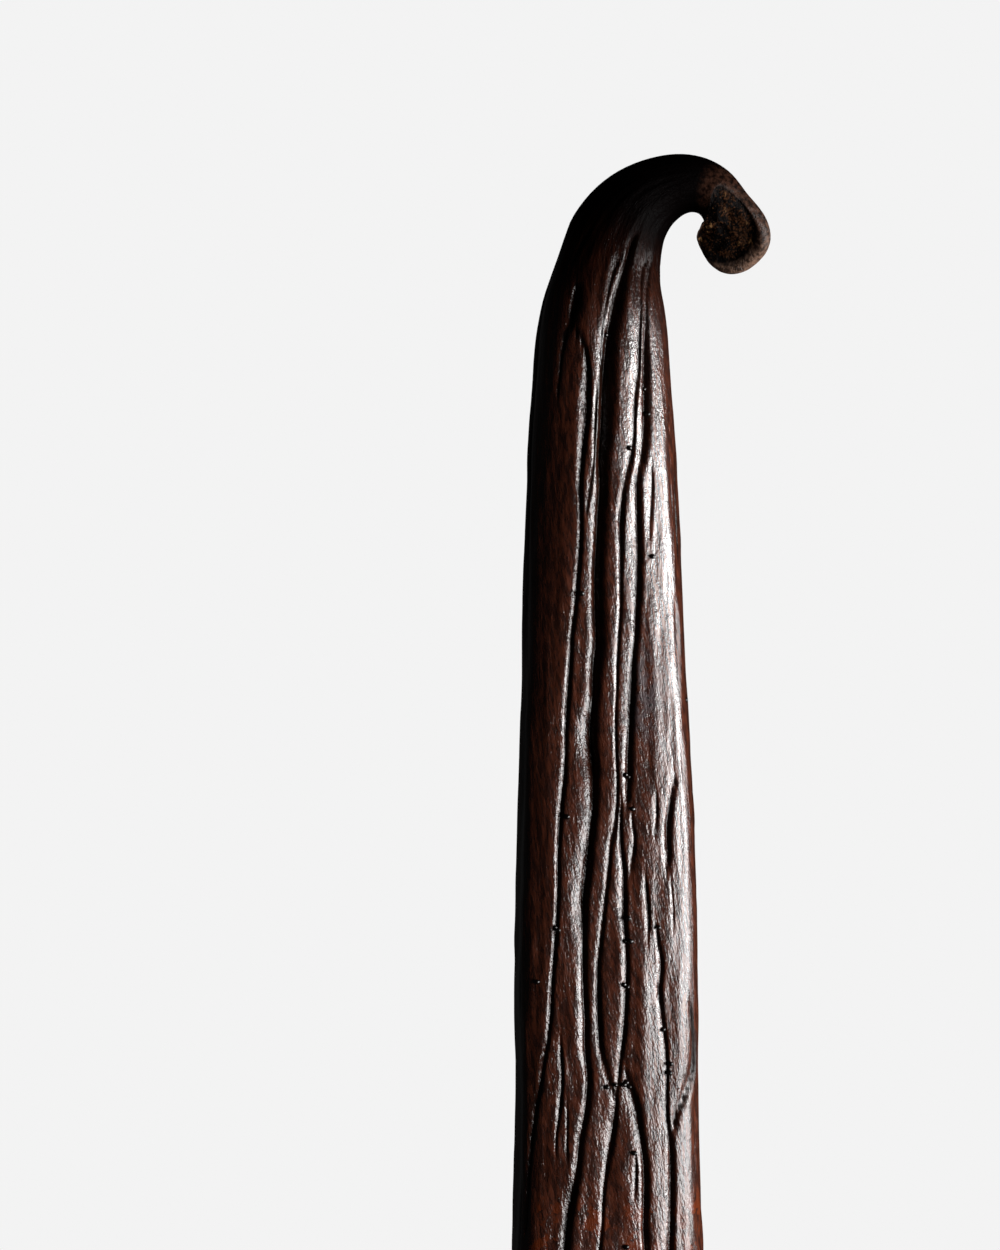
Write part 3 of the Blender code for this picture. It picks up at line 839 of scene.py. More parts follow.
    def skin_points(self, along: np.ndarray, angle: np.ndarray, scale: np.ndarray) -> np.ndarray:
        """Places on the skin.

        Args:
            along: distance along the pod.
            angle: angle round the pod.
            scale: share of the section's full radius.

        Returns:
            Points in the frame's own axes.
        """
        recess = self.scar_relief(along, angle, scale)
        slant = smooth_step(self.slant_from, -self.hook_length, along)
        upward = scale * np.cos(np.radians(angle))
        slanted = along + slant * self.slant_reach * (1.0 + upward)
        places, facing = self.wall(slanted, angle)
        lobe = self.lobe_height * np.exp(
            -((slanted - self.lobe_at[0]) / self.lobe_spread[0]) ** 2
            - ((angle - self.lobe_at[1]) / self.lobe_spread[1]) ** 2)
        relief = (lobe - self.furrow_relief(self.laid_out(along, angle, slanted))
                  + self.fine_relief(along, angle))
        across, up = ((places + relief[:, None] * facing) * scale[:, None]).T
        across = across + smooth_through(self.aside, slanted)
        centre, stemward, side, above = self.frames(slanted)
        points = (centre + side * across[:, None] + above * up[:, None]
                  - stemward * recess[:, None])
        points[:, 2] = np.maximum(points[:, 2], 0.0)
        return points + self.offset


# --- Finishes ----------------------------------------------------------------------------------


class Kept(Enum):
    """Names of what the skin mesh keeps at each vertex for its finish."""

    STRAIGHT = "straight"
    LEANING = "leaning"
    TORN = "torn"
    LIP = "lip"
    # share of the creases' shaded walls, where shade is painted into the colour
    BOTTOM = "painted_shade"


@dataclass(frozen=True)
class Fade:
    """A smooth change of a share along some measure, such as the distance along the pod."""

    start: float = 0.0
    end: float = 1.0
    before: float = 0.0
    after: float = 1.0


def add_node(tree: bpy.types.NodeTree, kind: str, settings: dict | None = None,
             inputs: dict | None = None) -> bpy.types.Node:
    """Adds a node with its settings, and sets or links its inputs.

    Args:
        tree: the material's node tree.
        kind: the node's type name.
        settings: properties of the node itself.
        inputs: input name or index to a value, or to the output socket that feeds it.

    Returns:
        The node.
    """
    node = tree.nodes.new(kind)
    for name, value in (settings or {}).items():
        setattr(node, name, value)
    for name, value in (inputs or {}).items():
        if isinstance(value, bpy.types.NodeSocket):
            tree.links.new(value, node.inputs[name])
        else:
            node.inputs[name].default_value = value
    return node


def share_of(tree: bpy.types.NodeTree,
             *parts: bpy.types.NodeSocket | tuple[bpy.types.NodeSocket, Fade]
             ) -> bpy.types.NodeSocket:
    """Multiplies shares, so that the result is high only where all of them are.

    Args:
        tree: the material's node tree.
        parts: each is a share, or a measure and the fade that makes a share of it.

    Returns:
        Their product.
    """
    product = None
    for part in parts:
        if isinstance(part, tuple):
            measure, fade = part
            part = add_node(tree, "ShaderNodeMapRange", {"interpolation_type": "SMOOTHSTEP"}, {
                "Value": measure, "From Min": fade.start, "From Max": fade.end,
                "To Min": fade.before, "To Max": fade.after}).outputs[0]
        if product is None:
            product = part
        else:
            product = add_node(tree, "ShaderNodeMath", {"operation": "MULTIPLY"}, {
                0: product, 1: part}).outputs[0]
    return product


def layered(tree: bpy.types.NodeTree, ground: str | bpy.types.NodeSocket,
            *coats: tuple[bpy.types.NodeSocket, str | bpy.types.NodeSocket]
            ) -> bpy.types.NodeSocket:
    """Lays colours over one another.

    Args:
        tree: the material's node tree.
        ground: the lowest colour, as sRGB hex or as a colour output.
        coats: (share, colour) pairs from the lowest up, with the colour as the ground's.

    Returns:
        The colour that shows.
    """
    shown = linear(ground) if isinstance(ground, str) else ground
    for share, colour in coats:
        colour = linear(colour) if isinstance(colour, str) else colour
        shown = add_node(tree, "ShaderNodeMix", {"data_type": "RGBA"}, {
            "Factor": share, 6: shown, 7: colour}).outputs[2]
    return shown


def new_material(name: str) -> tuple[bpy.types.Material, bpy.types.NodeTree]:
    """Makes a material with an empty node tree.

    Args:
        name: the material's name.

    Returns:
        The material and its tree.
    """
    made = bpy.data.materials.new(name)
    made.use_nodes = True
    made.node_tree.nodes.clear()
    return made, made.node_tree


@dataclass(frozen=True)
class TornFibre:
    """The scar where the pod was picked: dry torn fibre, black in its pits and tan at its tips."""

    pit: str = "#030202"
    fibre: str = "#3c2414"
    edge: str = "#140d0a"
    tip: str = "#8a6540"
    roughness: float = 0.6
    gloss: float = 0.03
    patch_mm: float = 0.8
    grain_mm: float = 0.1
    grain_patches: tuple[float, float] = (0.4, 0.6)  # from patches with little grain to much
    grain_from: tuple[float, float] = (0.6, 0.38)    # the grain's noise shows above this there
    grain_full: float = 0.72
    fleck_mm: float = 0.27
    fleck_turn: float = 35.0
    fleck_stretch: float = 0.4
    fleck_patches: tuple[float, float] = (0.35, 0.65)
    fleck_from: tuple[float, float] = (0.72, 0.56)
    fleck_full: float = 0.8
    middle: tuple[float, float] = (0.3, 0.95)        # how torn it is at the edge and the middle
    layers: float = 2.0                              # finer layers of the noises, and how
    layer_share: float = 0.6                         # strong each is
    height_mm: float = 0.09
    grain_height_mm: float = 0.045

    def shader(self, tree: bpy.types.NodeTree,
               share: bpy.types.NodeSocket) -> bpy.types.NodeSocket:
        """Adds the finish to a tree.

        Args:
            tree: the material's node tree.
            share: how torn each place is; the fibre is darker where it dwindles.

        Returns:
            The shader's output.
        """
        place = add_node(tree, "ShaderNodeTexCoord").outputs["Object"]
        patches = add_node(tree, "ShaderNodeTexNoise", inputs={
            "Vector": place, "Scale": 1.0 / (self.patch_mm * MM), "Detail": self.layers})
        grain = add_node(tree, "ShaderNodeTexNoise", inputs={
            "Vector": place, "Scale": 1.0 / (self.grain_mm * MM), "Detail": self.layers,
            "Roughness": self.layer_share})
        turned = add_node(tree, "ShaderNodeMapping", inputs={
            "Vector": place, "Rotation": (0.0, 0.0, math.radians(self.fleck_turn)),
            "Scale": (1.0, self.fleck_stretch, 1.0)})
        flecks = add_node(tree, "ShaderNodeTexNoise", inputs={
            "Vector": turned.outputs[0], "Scale": 1.0 / (self.fleck_mm * MM),
            "Detail": self.layers, "Roughness": self.layer_share})
        thin = add_node(tree, "ShaderNodeMapRange", inputs={
            "Value": patches.outputs[0], "From Min": self.grain_patches[0],
            "From Max": self.grain_patches[1], "To Min": self.grain_from[0],
            "To Max": self.grain_from[1]})
        fibre = add_node(tree, "ShaderNodeMapRange", inputs={
            "Value": grain.outputs[0], "From Min": thin.outputs[0],
            "From Max": self.grain_full})
        sparse = add_node(tree, "ShaderNodeMapRange", inputs={
            "Value": patches.outputs[0], "From Min": self.fleck_patches[0],
            "From Max": self.fleck_patches[1], "To Min": self.fleck_from[0],
            "To Max": self.fleck_from[1]})
        tipped = add_node(tree, "ShaderNodeMapRange", inputs={
            "Value": flecks.outputs[0], "From Min": sparse.outputs[0],
            "From Max": self.fleck_full})
        middle = add_node(tree, "ShaderNodeMapRange", inputs={
            "Value": share, "From Min": self.middle[0], "From Max": self.middle[1]})
        paler = layered(tree, self.edge, (middle.outputs[0], self.fibre))
        colour = layered(tree, self.pit, (fibre.outputs[0], paler),
                         (tipped.outputs[0], self.tip))
        bump = add_node(tree, "ShaderNodeBump", inputs={
            "Height": flecks.outputs[0], "Distance": self.height_mm * MM})
        fine_bump = add_node(tree, "ShaderNodeBump", inputs={
            "Height": grain.outputs[0], "Distance": self.grain_height_mm * MM,
            "Normal": bump.outputs[0]})
        return add_node(tree, "ShaderNodeBsdfPrincipled", inputs={
            "Base Color": colour, "Roughness": self.roughness,
            "Specular IOR Level": self.gloss, "Normal": fine_bump.outputs[0]}).outputs[0]


@dataclass(frozen=True)
class Pattern:
    """A noise on the skin: the size of its cells, how it is drawn out, and how fine it goes."""

    cell_mm: float
    stretch: float              # frequency along the pod as a share of that across it
    detail: float
    height_mm: float = 0.0      # how high it stands, where it is relief
    layer_share: float = 0.55   # how strong each finer layer is

    def noise(self, tree: bpy.types.NodeTree,
              place: bpy.types.NodeSocket) -> bpy.types.NodeSocket:
        """Adds the pattern to a tree.

        Args:
            tree: the material's node tree.
            place: the place that it reads, in millimetres, with the pod along Z.

        Returns:
            Its value, about 0.5 on the average.
        """
        drawn_out = add_node(tree, "ShaderNodeMapping", inputs={
            "Vector": place, "Scale": (1.0, 1.0, self.stretch)})
        return add_node(tree, "ShaderNodeTexNoise", inputs={
            "Vector": drawn_out.outputs[0], "Scale": 1.0 / self.cell_mm, "Detail": self.detail,
            "Roughness": self.layer_share}).outputs[0]


@dataclass(frozen=True)
class SkinPlace:
    """What the skin's finish reads at each place, as output sockets."""

    straight: bpy.types.NodeSocket      # place on the straightened pod, in millimetres
    leaning: bpy.types.NodeSocket       # the same, but slanting round the pod
    real: bpy.types.NodeSocket          # the place itself, in millimetres
    rightward: bpy.types.NodeSocket
    level: bpy.types.NodeSocket
    along: bpy.types.NodeSocket
    torn: bpy.types.NodeSocket
    lip: bpy.types.NodeSocket
    # share of the creases' shaded walls, where shade is painted into the colour
    painted_shade: bpy.types.NodeSocket

    @classmethod
    def read(cls, tree: bpy.types.NodeTree) -> SkinPlace:
        """Adds the nodes that read it.

        Args:
            tree: the material's node tree.

        Returns:
            The sockets.
        """
        kept = {name: add_node(tree, "ShaderNodeAttribute", {"attribute_name": name.value})
                for name in Kept}
        straight = kept[Kept.STRAIGHT].outputs["Vector"]
        here = add_node(tree, "ShaderNodeTexCoord").outputs["Object"]
        real = add_node(tree, "ShaderNodeMapping", inputs={
            "Vector": here, "Scale": (1.0 / MM, 1.0 / MM, 1.0 / MM)}).outputs[0]
        parts = add_node(tree, "ShaderNodeSeparateXYZ", inputs={"Vector": straight}).outputs
        return cls(straight, kept[Kept.LEANING].outputs["Vector"], real, *parts,
                   *(kept[name].outputs["Fac"] for name in (Kept.TORN, Kept.LIP, Kept.BOTTOM)))


@dataclass(frozen=True)
class CuredSkin:
    """Cured pod skin: leathery, almost black brown, finely crinkled, wet with its own oil.

    The oil gives a whitish sheen that gathers on the lips of the creases; the stem end is dry
    and almost black. Fades along the pod run over its distance along, and those to the side over
    the rightward part of the straightened place.
    """

    # colour: black at the stem end, browner and redder down the pod, in small blotches
    dark: str = "#230f09"
    warm: str = "#442013"
    stalk: str = "#020101"
    stalk_worn: str = "#301d15"
    # the scar rim's pale brown, partly its own colour and partly painted light: it is laid on paler
    # where the lamps barely reach
    pale_rim_and_painted_light: str = "#6a5244"
    amber: str = "#4e1f0a"
    # painted shade: near-black colour laid on the creases' shaded walls and in the scuff's pits
    painted_shade_colour: str = "#060302"
    scuff_dust: str = "#35292a"
    body_from: Fade = Fade(-3.0, 7.0)
    blotch: Pattern = Pattern(0.2, 0.3, 3.0)
    blotch_share: Fade = Fade(0.35, 0.7)
    at_end: Fade = Fade(-7.0, -9.5)
    rub: Pattern = Pattern(0.2, 1.0, 3.0)
    rub_share: Fade = Fade(0.35, 0.65, 0.1)
    at_rim: Fade = Fade(-9.6, -10.4)
    rim_rub_share: Fade = Fade(0.35, 0.65, 0.2)
    # painted light: the rim's underside, turned away from the lamps, gets more of the pale colour
    # than its top
    painted_light_underside: Fade = Fade(1.0, -2.0, 0.1)
    resin: Pattern = Pattern(0.8, 0.8, 4.0)
    resin_share: Fade = Fade(0.55, 0.6)
    resin_from: Fade = Fade(40.4, 42.0)
    resin_to: Fade = Fade(70.0, 50.0)
    # how far the painted shade colour covers the creases' shaded walls
    painted_shade_share: Fade = Fade(after=0.85)
    # the dull patch that was rubbed against the other pods of the bundle
    scuff_at: tuple[float, float, float] = (1.6, 3.2, 19.0)
    scuff_reach: tuple[float, float, float] = (0.8, 2.0, 2.4)
    scuff_share: Fade = Fade(1.1, 0.5)
    scuff: Pattern = Pattern(0.3, 0.7, 3.0)
    scuff_patches: Fade = Fade(0.35, 0.6)
    # the scuff's pits are painted near black as shade, with no relief
    pit: Pattern = Pattern(0.16, 1.0, 1.0)
    pit_share: Fade = Fade(0.62, 0.68)
    # sheen: dry stem end, oily body, and the oil thickest on the lips
    oil_ior: float = 1.47
    roughness: Fade = Fade(before=0.45, after=0.26)  # from the dry stem end to the oily body
    gloss: float = 0.5
    stalk_gloss: Fade = Fade(-9.2, -10.3, 0.008, 0.14)
    oily_from: Fade = Fade(-1.9, 0.2)
    glossy_from: Fade = Fade(-0.9, 5.0)
    scuff_dries: Fade = Fade(before=1.0, after=0.2)
    scuff_dulls: Fade = Fade(before=1.0, after=0.55)
    # gloss is lower on the creases' shaded walls, under their painted shade
    painted_shade_dulls: Fade = Fade(before=1.0, after=0.3)
    far_right: Fade = Fade(3.05, 3.3)
    far_right_from: Fade = Fade(4.0, 8.0)
    edge_dulls: Fade = Fade(before=1.0, after=0.35)
    edge_dries: Fade = Fade(before=1.0, after=0.2)
    thin_oil: float = 0.08
    oil: float = 0.22
    oil_roughness: float = 0.15
    oil_film: Pattern = Pattern(0.5, 0.25, 3.0)
    oil_film_share: Fade = Fade(0.3, 0.65, 0.35)
    # relief, drawn as coarse as it needs to show, and flatter where the skin is drawn tight
    grain: Pattern = Pattern(0.055, 1.0, 0.0, 0.010)
    fibre: Pattern = Pattern(0.09, 0.4, 1.0, 0.026)
    crinkle: Pattern = Pattern(0.17, 0.3, 1.0, 0.022)
    knob: Pattern = Pattern(0.34, 1.0, 3.0, 0.09)
    tight_right: Fade = Fade(1.6, 3.0)
    tight_from: Fade = Fade(5.0, 10.0)
    tight_to: Fade = Fade(24.0, 18.0)
    tight_flattens: Fade = Fade(before=1.0, after=0.5)
    flank: Fade = Fade(2.5, 3.2)
    flank_flattens: Fade = Fade(before=1.0, after=0.65)
    torn_share: Fade = Fade(0.0, 0.45)
    torn: TornFibre = TornFibre()

    def scuffs(self, tree: bpy.types.NodeTree,
               skin: SkinPlace) -> tuple[bpy.types.NodeSocket, bpy.types.NodeSocket]:
        """Adds the dull patch.

        Args:
            tree: the material's node tree.
            skin: what is read at each place.

        Returns:
            How scuffed each place is, and where its pits are painted dark as shade.
        """
        scaled = add_node(tree, "ShaderNodeMapping", {"vector_type": "TEXTURE"}, {
            "Vector": skin.straight, "Location": self.scuff_at, "Scale": self.scuff_reach})
        away = add_node(tree, "ShaderNodeVectorMath", {"operation": "LENGTH"}, {
            0: scaled.outputs[0]}).outputs["Value"]
        near = (away, self.scuff_share)
        return (share_of(tree, near, (self.scuff.noise(tree, skin.straight), self.scuff_patches)),
                share_of(tree, near, (self.pit.noise(tree, skin.straight), self.pit_share)))

    def colour(self, tree: bpy.types.NodeTree, skin: SkinPlace, scuffed: bpy.types.NodeSocket,
               painted_pit_shade: bpy.types.NodeSocket) -> bpy.types.NodeSocket:
        """Adds the colour, with painted shade in it and painted light on the scar rim's underside.

        Args:
            tree: the material's node tree.
            skin: what is read at each place.
            scuffed: how scuffed each place is.
            painted_pit_shade: where the scuff's pits are painted dark as shade.

        Returns:
            The colour.
        """
        rubbed = self.rub.noise(tree, skin.real)
        mottled = share_of(tree, (skin.along, self.at_end), (rubbed, self.rub_share))
        # the scar's rim: pale brown mottling, painted paler on its underside as painted light
        at_rim = share_of(tree, (skin.along, self.at_rim), (rubbed, self.rim_rub_share),
                          (skin.level, self.painted_light_underside))
        stalk = layered(tree, self.stalk, (mottled, self.stalk_worn), (at_rim, self.pale_rim_and_painted_light))
        blotches = share_of(tree, (self.blotch.noise(tree, skin.leaning), self.blotch_share))
        resin = share_of(tree, (self.resin.noise(tree, skin.straight), self.resin_share),
                         (skin.along, self.resin_from), (skin.along, self.resin_to))
        body = layered(tree, self.dark, (blotches, self.warm), (resin, self.amber))
        # painted shade: the scuff's pits and the creases' shaded walls are laid over in near black
        return layered(tree, stalk, (share_of(tree, (skin.along, self.body_from)), body),
                       (scuffed, self.scuff_dust), (painted_pit_shade, self.painted_shade_colour),
                       (share_of(tree, (skin.painted_shade, self.painted_shade_share)), self.painted_shade_colour))

    def sheen(self, tree: bpy.types.NodeTree, skin: SkinPlace,
              scuffed: bpy.types.NodeSocket) -> dict:
        """Adds the oil and the gloss.

        Args:
            tree: the material's node tree.
            skin: what is read at each place.
            scuffed: how scuffed each place is.

        Returns:
            The shader's inputs that they feed.
        """
        oily = share_of(tree, (skin.along, self.oily_from))
        wet = share_of(tree, oily, (scuffed, self.scuff_dries))
        gloss = add_node(tree, "ShaderNodeMapRange", inputs={
            "Value": share_of(tree, (skin.along, self.glossy_from)),
            "To Min": share_of(tree, (skin.along, self.stalk_gloss)), "To Max": self.gloss})
        edge = share_of(tree, (skin.rightward, self.far_right), (skin.along, self.far_right_from))
        film = share_of(tree, skin.lip, (self.oil_film.noise(tree, skin.straight),
                                         self.oil_film_share))
        thick = add_node(tree, "ShaderNodeMapRange", inputs={
            "Value": film, "To Min": self.thin_oil, "To Max": self.oil})
        return {
            "Roughness": share_of(tree, (wet, self.roughness)), "IOR": self.oil_ior,
            "Specular IOR Level": share_of(tree, gloss.outputs[0],
                                           (skin.painted_shade, self.painted_shade_dulls),
                                           (scuffed, self.scuff_dulls), (edge, self.edge_dulls)),
            "Coat Weight": share_of(tree, thick.outputs[0], oily, (edge, self.edge_dries)),
            "Coat Roughness": self.oil_roughness, "Coat IOR": self.oil_ior}

    def relief(self, tree: bpy.types.NodeTree, skin: SkinPlace) -> bpy.types.NodeSocket:
        """Adds the relief, one pattern upon another.

        Args:
            tree: the material's node tree.
            skin: what is read at each place.

        Returns:
            The bent normal.
        """
        tight = share_of(tree, (skin.rightward, self.tight_right), (skin.along, self.tight_from),
                         (skin.along, self.tight_to))
        flank = share_of(tree, (skin.rightward, self.flank))
        lively = share_of(tree, (tight, self.tight_flattens), (flank, self.flank_flattens))
        at_end = share_of(tree, (skin.along, self.at_end))
        inputs = {}
        for pattern, place, strength in (
                (self.grain, skin.leaning, lively), (self.fibre, skin.leaning, lively),
                (self.crinkle, skin.leaning, lively), (self.knob, skin.real, at_end)):
            inputs.update({"Height": pattern.noise(tree, place), "Strength": strength,
                           "Distance": pattern.height_mm * MM})
            inputs["Normal"] = add_node(tree, "ShaderNodeBump", inputs=inputs).outputs[0]
        return inputs["Normal"]

    def material(self) -> bpy.types.Material:
        """Builds the material, which reads what the mesh keeps at its vertices.

        Returns:
            The skin with the torn fibre where the pod was picked.
        """
        made, tree = new_material("cured_vanilla_skin")
        skin = SkinPlace.read(tree)
        scuffed, painted_pit_shade = self.scuffs(tree, skin)
        normal = self.relief(tree, skin)
        shader = add_node(tree, "ShaderNodeBsdfPrincipled", inputs={
            "Base Color": self.colour(tree, skin, scuffed, painted_pit_shade),
            **self.sheen(tree, skin, scuffed), "Normal": normal, "Coat Normal": normal})
        both = add_node(tree, "ShaderNodeMixShader", inputs={
            0: share_of(tree, (skin.torn, self.torn_share)), 1: shader.outputs[0],
            2: self.torn.shader(tree, skin.torn)})
        add_node(tree, "ShaderNodeOutputMaterial", inputs={"Surface": both.outputs[0]})
        return made


@dataclass(frozen=True)
class SeedCoat:
    """Vanilla seed: hard, faintly pitted, black and glossy from the pod's oil."""

    colour: str = "#0a0605"
    roughness: float = 0.22
    pit_mm: float = 0.06
    pit_depth_mm: float = 0.008

    def material(self) -> bpy.types.Material:
        """Builds the material.

        Returns:
            The seed coat.
        """
        made, tree = new_material("vanilla_seed_coat")
        place = add_node(tree, "ShaderNodeTexCoord").outputs["Object"]
        pits = add_node(tree, "ShaderNodeTexNoise", inputs={
            "Vector": place, "Scale": 1.0 / (self.pit_mm * MM), "Detail": 1.0})
        bump = add_node(tree, "ShaderNodeBump", inputs={
            "Height": pits.outputs[0], "Distance": self.pit_depth_mm * MM})
        shader = add_node(tree, "ShaderNodeBsdfPrincipled", inputs={
            "Base Color": linear(self.colour), "Roughness": self.roughness,
            "Normal": bump.outputs[0]})
        add_node(tree, "ShaderNodeOutputMaterial", inputs={"Surface": shader.outputs[0]})
        return made


# --- Sub-assemblies ----------------------------------------------------------------------------


@dataclass
class PodSkin:
    """The whole skin as one closed mesh, shaped from a sphere whose poles are the pod's ends."""

    form: PodForm
    columns: int = 368
    scar_rings: int = 12
    rim_rings: int = 12
    tip_rings: int = 9
    body_rings: int = 236
    hook_spacing: float = 0.24                       # wanted spacing of the rings
    shown_spacing: float = 0.34
    body_spacing: float = 1.6
    neck: tuple[float, float] = (-3.0, 3.0)
    past_shown: tuple[float, float] = (50.0, 62.0)
    counted_at: int = 4000                           # places at which the spacing is added up
    face_crowding: float = 0.45                      # columns stand closer on the face side
    straight_radius: float = 3.6
    lean: float = -2.6                               # degrees for each millimetre

    def rings(self) -> tuple[np.ndarray, np.ndarray]:
        """Where the rings lie, from the scar's middle to the blossom tip.

        Returns:
            Distance along and share of the full radius of every ring.
        """
        form = self.form
        scar = form.scar_scale * np.linspace(0.0, 1.0, self.scar_rings + 1)
        rim = np.radians(np.linspace(0.0, 90.0, self.rim_rings + 2)[1:-1])
        tip = np.radians(np.linspace(0.0, 90.0, self.tip_rings + 2)[1:])
        first, last = form.rim_round - form.hook_length, form.body_length - form.tip_round
        places = np.linspace(first, last, self.counted_at)
        spacing = (self.hook_spacing
                   + (self.shown_spacing - self.hook_spacing) * smooth_step(*self.neck, places)
                   + (self.body_spacing - self.shown_spacing)
                   * smooth_step(*self.past_shown, places))
        count = np.cumsum(1.0 / spacing)
        count = (count - count[0]) / (count[-1] - count[0])
        body = np.interp(np.linspace(0.0, 1.0, self.body_rings), count, places)
        along = np.concatenate((np.full(len(scar), -form.hook_length),
                                form.rim_round * (1.0 - np.cos(rim)) - form.hook_length,
                                body,
                                last + form.tip_round * np.sin(tip)))
        scale = np.concatenate((scar, form.scar_scale + (1.0 - form.scar_scale) * np.sin(rim),
                                np.ones(len(body)), np.cos(tip)))
        return along, scale

    def build(self) -> bpy.types.Object:
        """Adds the sphere, shapes it, keeps what its finish reads and dresses it.

        Returns:
            The finished skin.
        """
        ring_along, ring_scale = self.rings()
        last_ring = len(ring_along) - 1
        deselect()
        bpy.ops.mesh.primitive_uv_sphere_add(segments=self.columns, ring_count=last_ring)
        skin = bpy.context.object
        skin.name = "pod_skin"
        mesh = skin.data
        sphere = np.empty(len(mesh.vertices) * 3)
        mesh.vertices.foreach_get("co", sphere)
        sphere = sphere.reshape(-1, 3)
        ring = np.rint(np.arccos(np.clip(sphere[:, 2], -1.0, 1.0)) / np.pi * last_ring).astype(int)
        turn = np.arctan2(sphere[:, 1], sphere[:, 0])
        angle = np.degrees(turn - self.face_crowding * np.sin(turn))
        along, scale = ring_along[ring], ring_scale[ring]
        points = self.form.skin_points(along, angle, scale)
        mesh.vertices.foreach_set("co", (points * MM).ravel())
        self.keep_straight(mesh, along, angle)
        self.keep(mesh, Kept.TORN, self.form.torn_share(along, angle, scale))
        for name, shares in zip((Kept.LIP, Kept.BOTTOM), self.form.lip_and_painted_shade_shares(along, angle)):
            self.keep(mesh, name, shares)
        mesh.materials.append(CuredSkin().material())
        mesh.shade_smooth()
        mesh.update()
        return skin

    def keep_straight(self, mesh: bpy.types.Mesh, along: np.ndarray, angle: np.ndarray) -> None:
        """Stores each vertex's place on the straightened pod, in millimetres, for the patterns.

        Args:
            mesh: the skin's mesh.
            along: distance along the pod of each vertex.
            angle: angle round the pod of each vertex.
        """
        for name, lean in ((Kept.STRAIGHT, 0.0), (Kept.LEANING, self.lean)):
            turned = np.radians(angle + lean * along)
            places = np.column_stack((self.straight_radius * np.sin(turned),
                                      self.straight_radius * np.cos(turned), along))
            kept = mesh.attributes.new(name.value, "FLOAT_VECTOR", "POINT")
            kept.data.foreach_set("vector", places.astype(np.float32).ravel())

    def keep(self, mesh: bpy.types.Mesh, name: Kept, values: np.ndarray) -> None:
        """Stores one number for each vertex."""
        kept = mesh.attributes.new(name.value, "FLOAT", "POINT")
        kept.data.foreach_set("value", values.astype(np.float32))


@dataclass
class LooseSeeds:
    """Single seeds that stick to the oily skin, joined into one mesh."""

    form: PodForm
    radius: float = 0.125
    radius_spread: tuple[float, float] = (0.88, 1.1)
    flattening: tuple[float, float, float] = (1.0, 0.86, 0.94)
    segments: int = 12
    ring_count: int = 8
    lift: float = 0.52                               # share of its radius that it stands proud
    seed: int = 5
    placed: tuple[tuple[float, float], ...] = (      # (along, angle)
        (3.1, 3), (5.5, 37), (6.6, 38), (8.1, 20), (12.9, 36), (14.5, -15), (19.3, 86),
        (22.5, 12), (22.6, 14), (24, 16), (24.3, -26), (29.2, -34), (29.3, -32), (28.8, 12),
        (29.8, 13), (29.8, 10), (29.2, 32), (31.6, -49), (31.7, 9), (31.8, 11), (33.7, 36),
        (35.2, 42), (35.6, 41), (36.2, -1), (36.1, 4), (36.1, 9), (36, 11), (36.2, 13),
        (39.1, 15), (43.2, 10))
    scattered: int = 46
    scattered_along: tuple[float, float] = (48.0, 140.0)
    scattered_aside: tuple[float, float] = (40.0, 100.0)
    feel_along: float = 0.25                         # steps that feel which way the skin faces
    feel_round: float = 4.0

    def places(self) -> np.ndarray:
        """Where the seeds lie: those listed and the scattered ones.

        Returns:
            (along, angle) rows.
        """
        draw = random.Random(self.seed)
        rest = [(draw.uniform(*self.scattered_along),
                 draw.choice((-1.0, 1.0)) * draw.uniform(*self.scattered_aside))
                for _ in range(self.scattered)]
        return np.array([*self.placed, *rest], dtype=float)

    def stand(self, along: np.ndarray, angle: np.ndarray) -> tuple[np.ndarray, np.ndarray]:
        """Where the seeds stand on the skin.

        Args:
            along: distance along the pod.
            angle: angle round the pod.

        Returns:
            Points on the skin and the outward directions there.
        """
        full = np.ones(len(along))
        points = self.form.skin_points(along, angle, full)
        onward = self.form.skin_points(along + self.feel_along, angle, full) - points
        aside = self.form.skin_points(along, angle + self.feel_round, full) - points
        outward = np.cross(onward, aside)
        outward /= np.linalg.norm(outward, axis=1, keepdims=True)
        axis = self.form.frames(along)[0] + self.form.offset
        outward *= np.sign(np.sum(outward * (points - axis), axis=1))[:, None]
        return points, outward

    def build(self) -> bpy.types.Object:
        """Models one seed after another on the skin and joins them.

        Returns:
            The seeds as one piece.
        """
        points, outward = self.stand(*self.places().T)
        deselect()
        draw = random.Random(self.seed + 1)
        copies = []
        for point, normal in zip(points, outward):
            radius = self.radius * draw.uniform(*self.radius_spread)
            bpy.ops.mesh.primitive_uv_sphere_add(
                segments=self.segments, ring_count=self.ring_count, radius=radius * MM,
                location=(point + normal * radius * self.lift) * MM,
                rotation=(draw.uniform(0, math.tau), draw.uniform(0, math.tau), 0.0),
                scale=self.flattening)
            copies.append(bpy.context.object)
        for copy in copies:
            copy.select_set(True)
        bpy.context.view_layer.objects.active = copies[0]
        bpy.ops.object.join()
        seeds = bpy.context.object
        bpy.ops.object.transform_apply(location=True, rotation=True, scale=True)
        seeds.name = "loose_seeds"
        seeds.data.materials.append(SeedCoat().material())
        seeds.data.shade_smooth()
        return seeds


@dataclass(frozen=True)
class Softbox:
    """A rectangular soft light; its places count Y from the middle of the shown stretch."""

    name: str
    place: tuple[float, float, float]
    target: tuple[float, float, float]
    size: tuple[float, float]
    power: float                # watts

    def build(self, shown: float) -> bpy.types.Object:
        """Adds the light.

        Args:
            shown: Y of the middle of the shown stretch.

        Returns:
            The light.
        """
        light = bpy.data.lights.new(self.name, "AREA")
        light.shape = "RECTANGLE"
        light.size, light.size_y = (side * MM for side in self.size)
        light.energy = self.power
        lamp = bpy.data.objects.new(self.name, light)
        bpy.context.scene.collection.objects.link(lamp)
        lamp.location = (Vector(self.place) + Vector((0.0, shown, 0.0))) * MM
        aim = (Vector(self.target) - Vector(self.place)).to_track_quat("-Z", "Y")
        lamp.rotation_euler = aim.to_euler()
        lamp.visible_camera = False
        return lamp


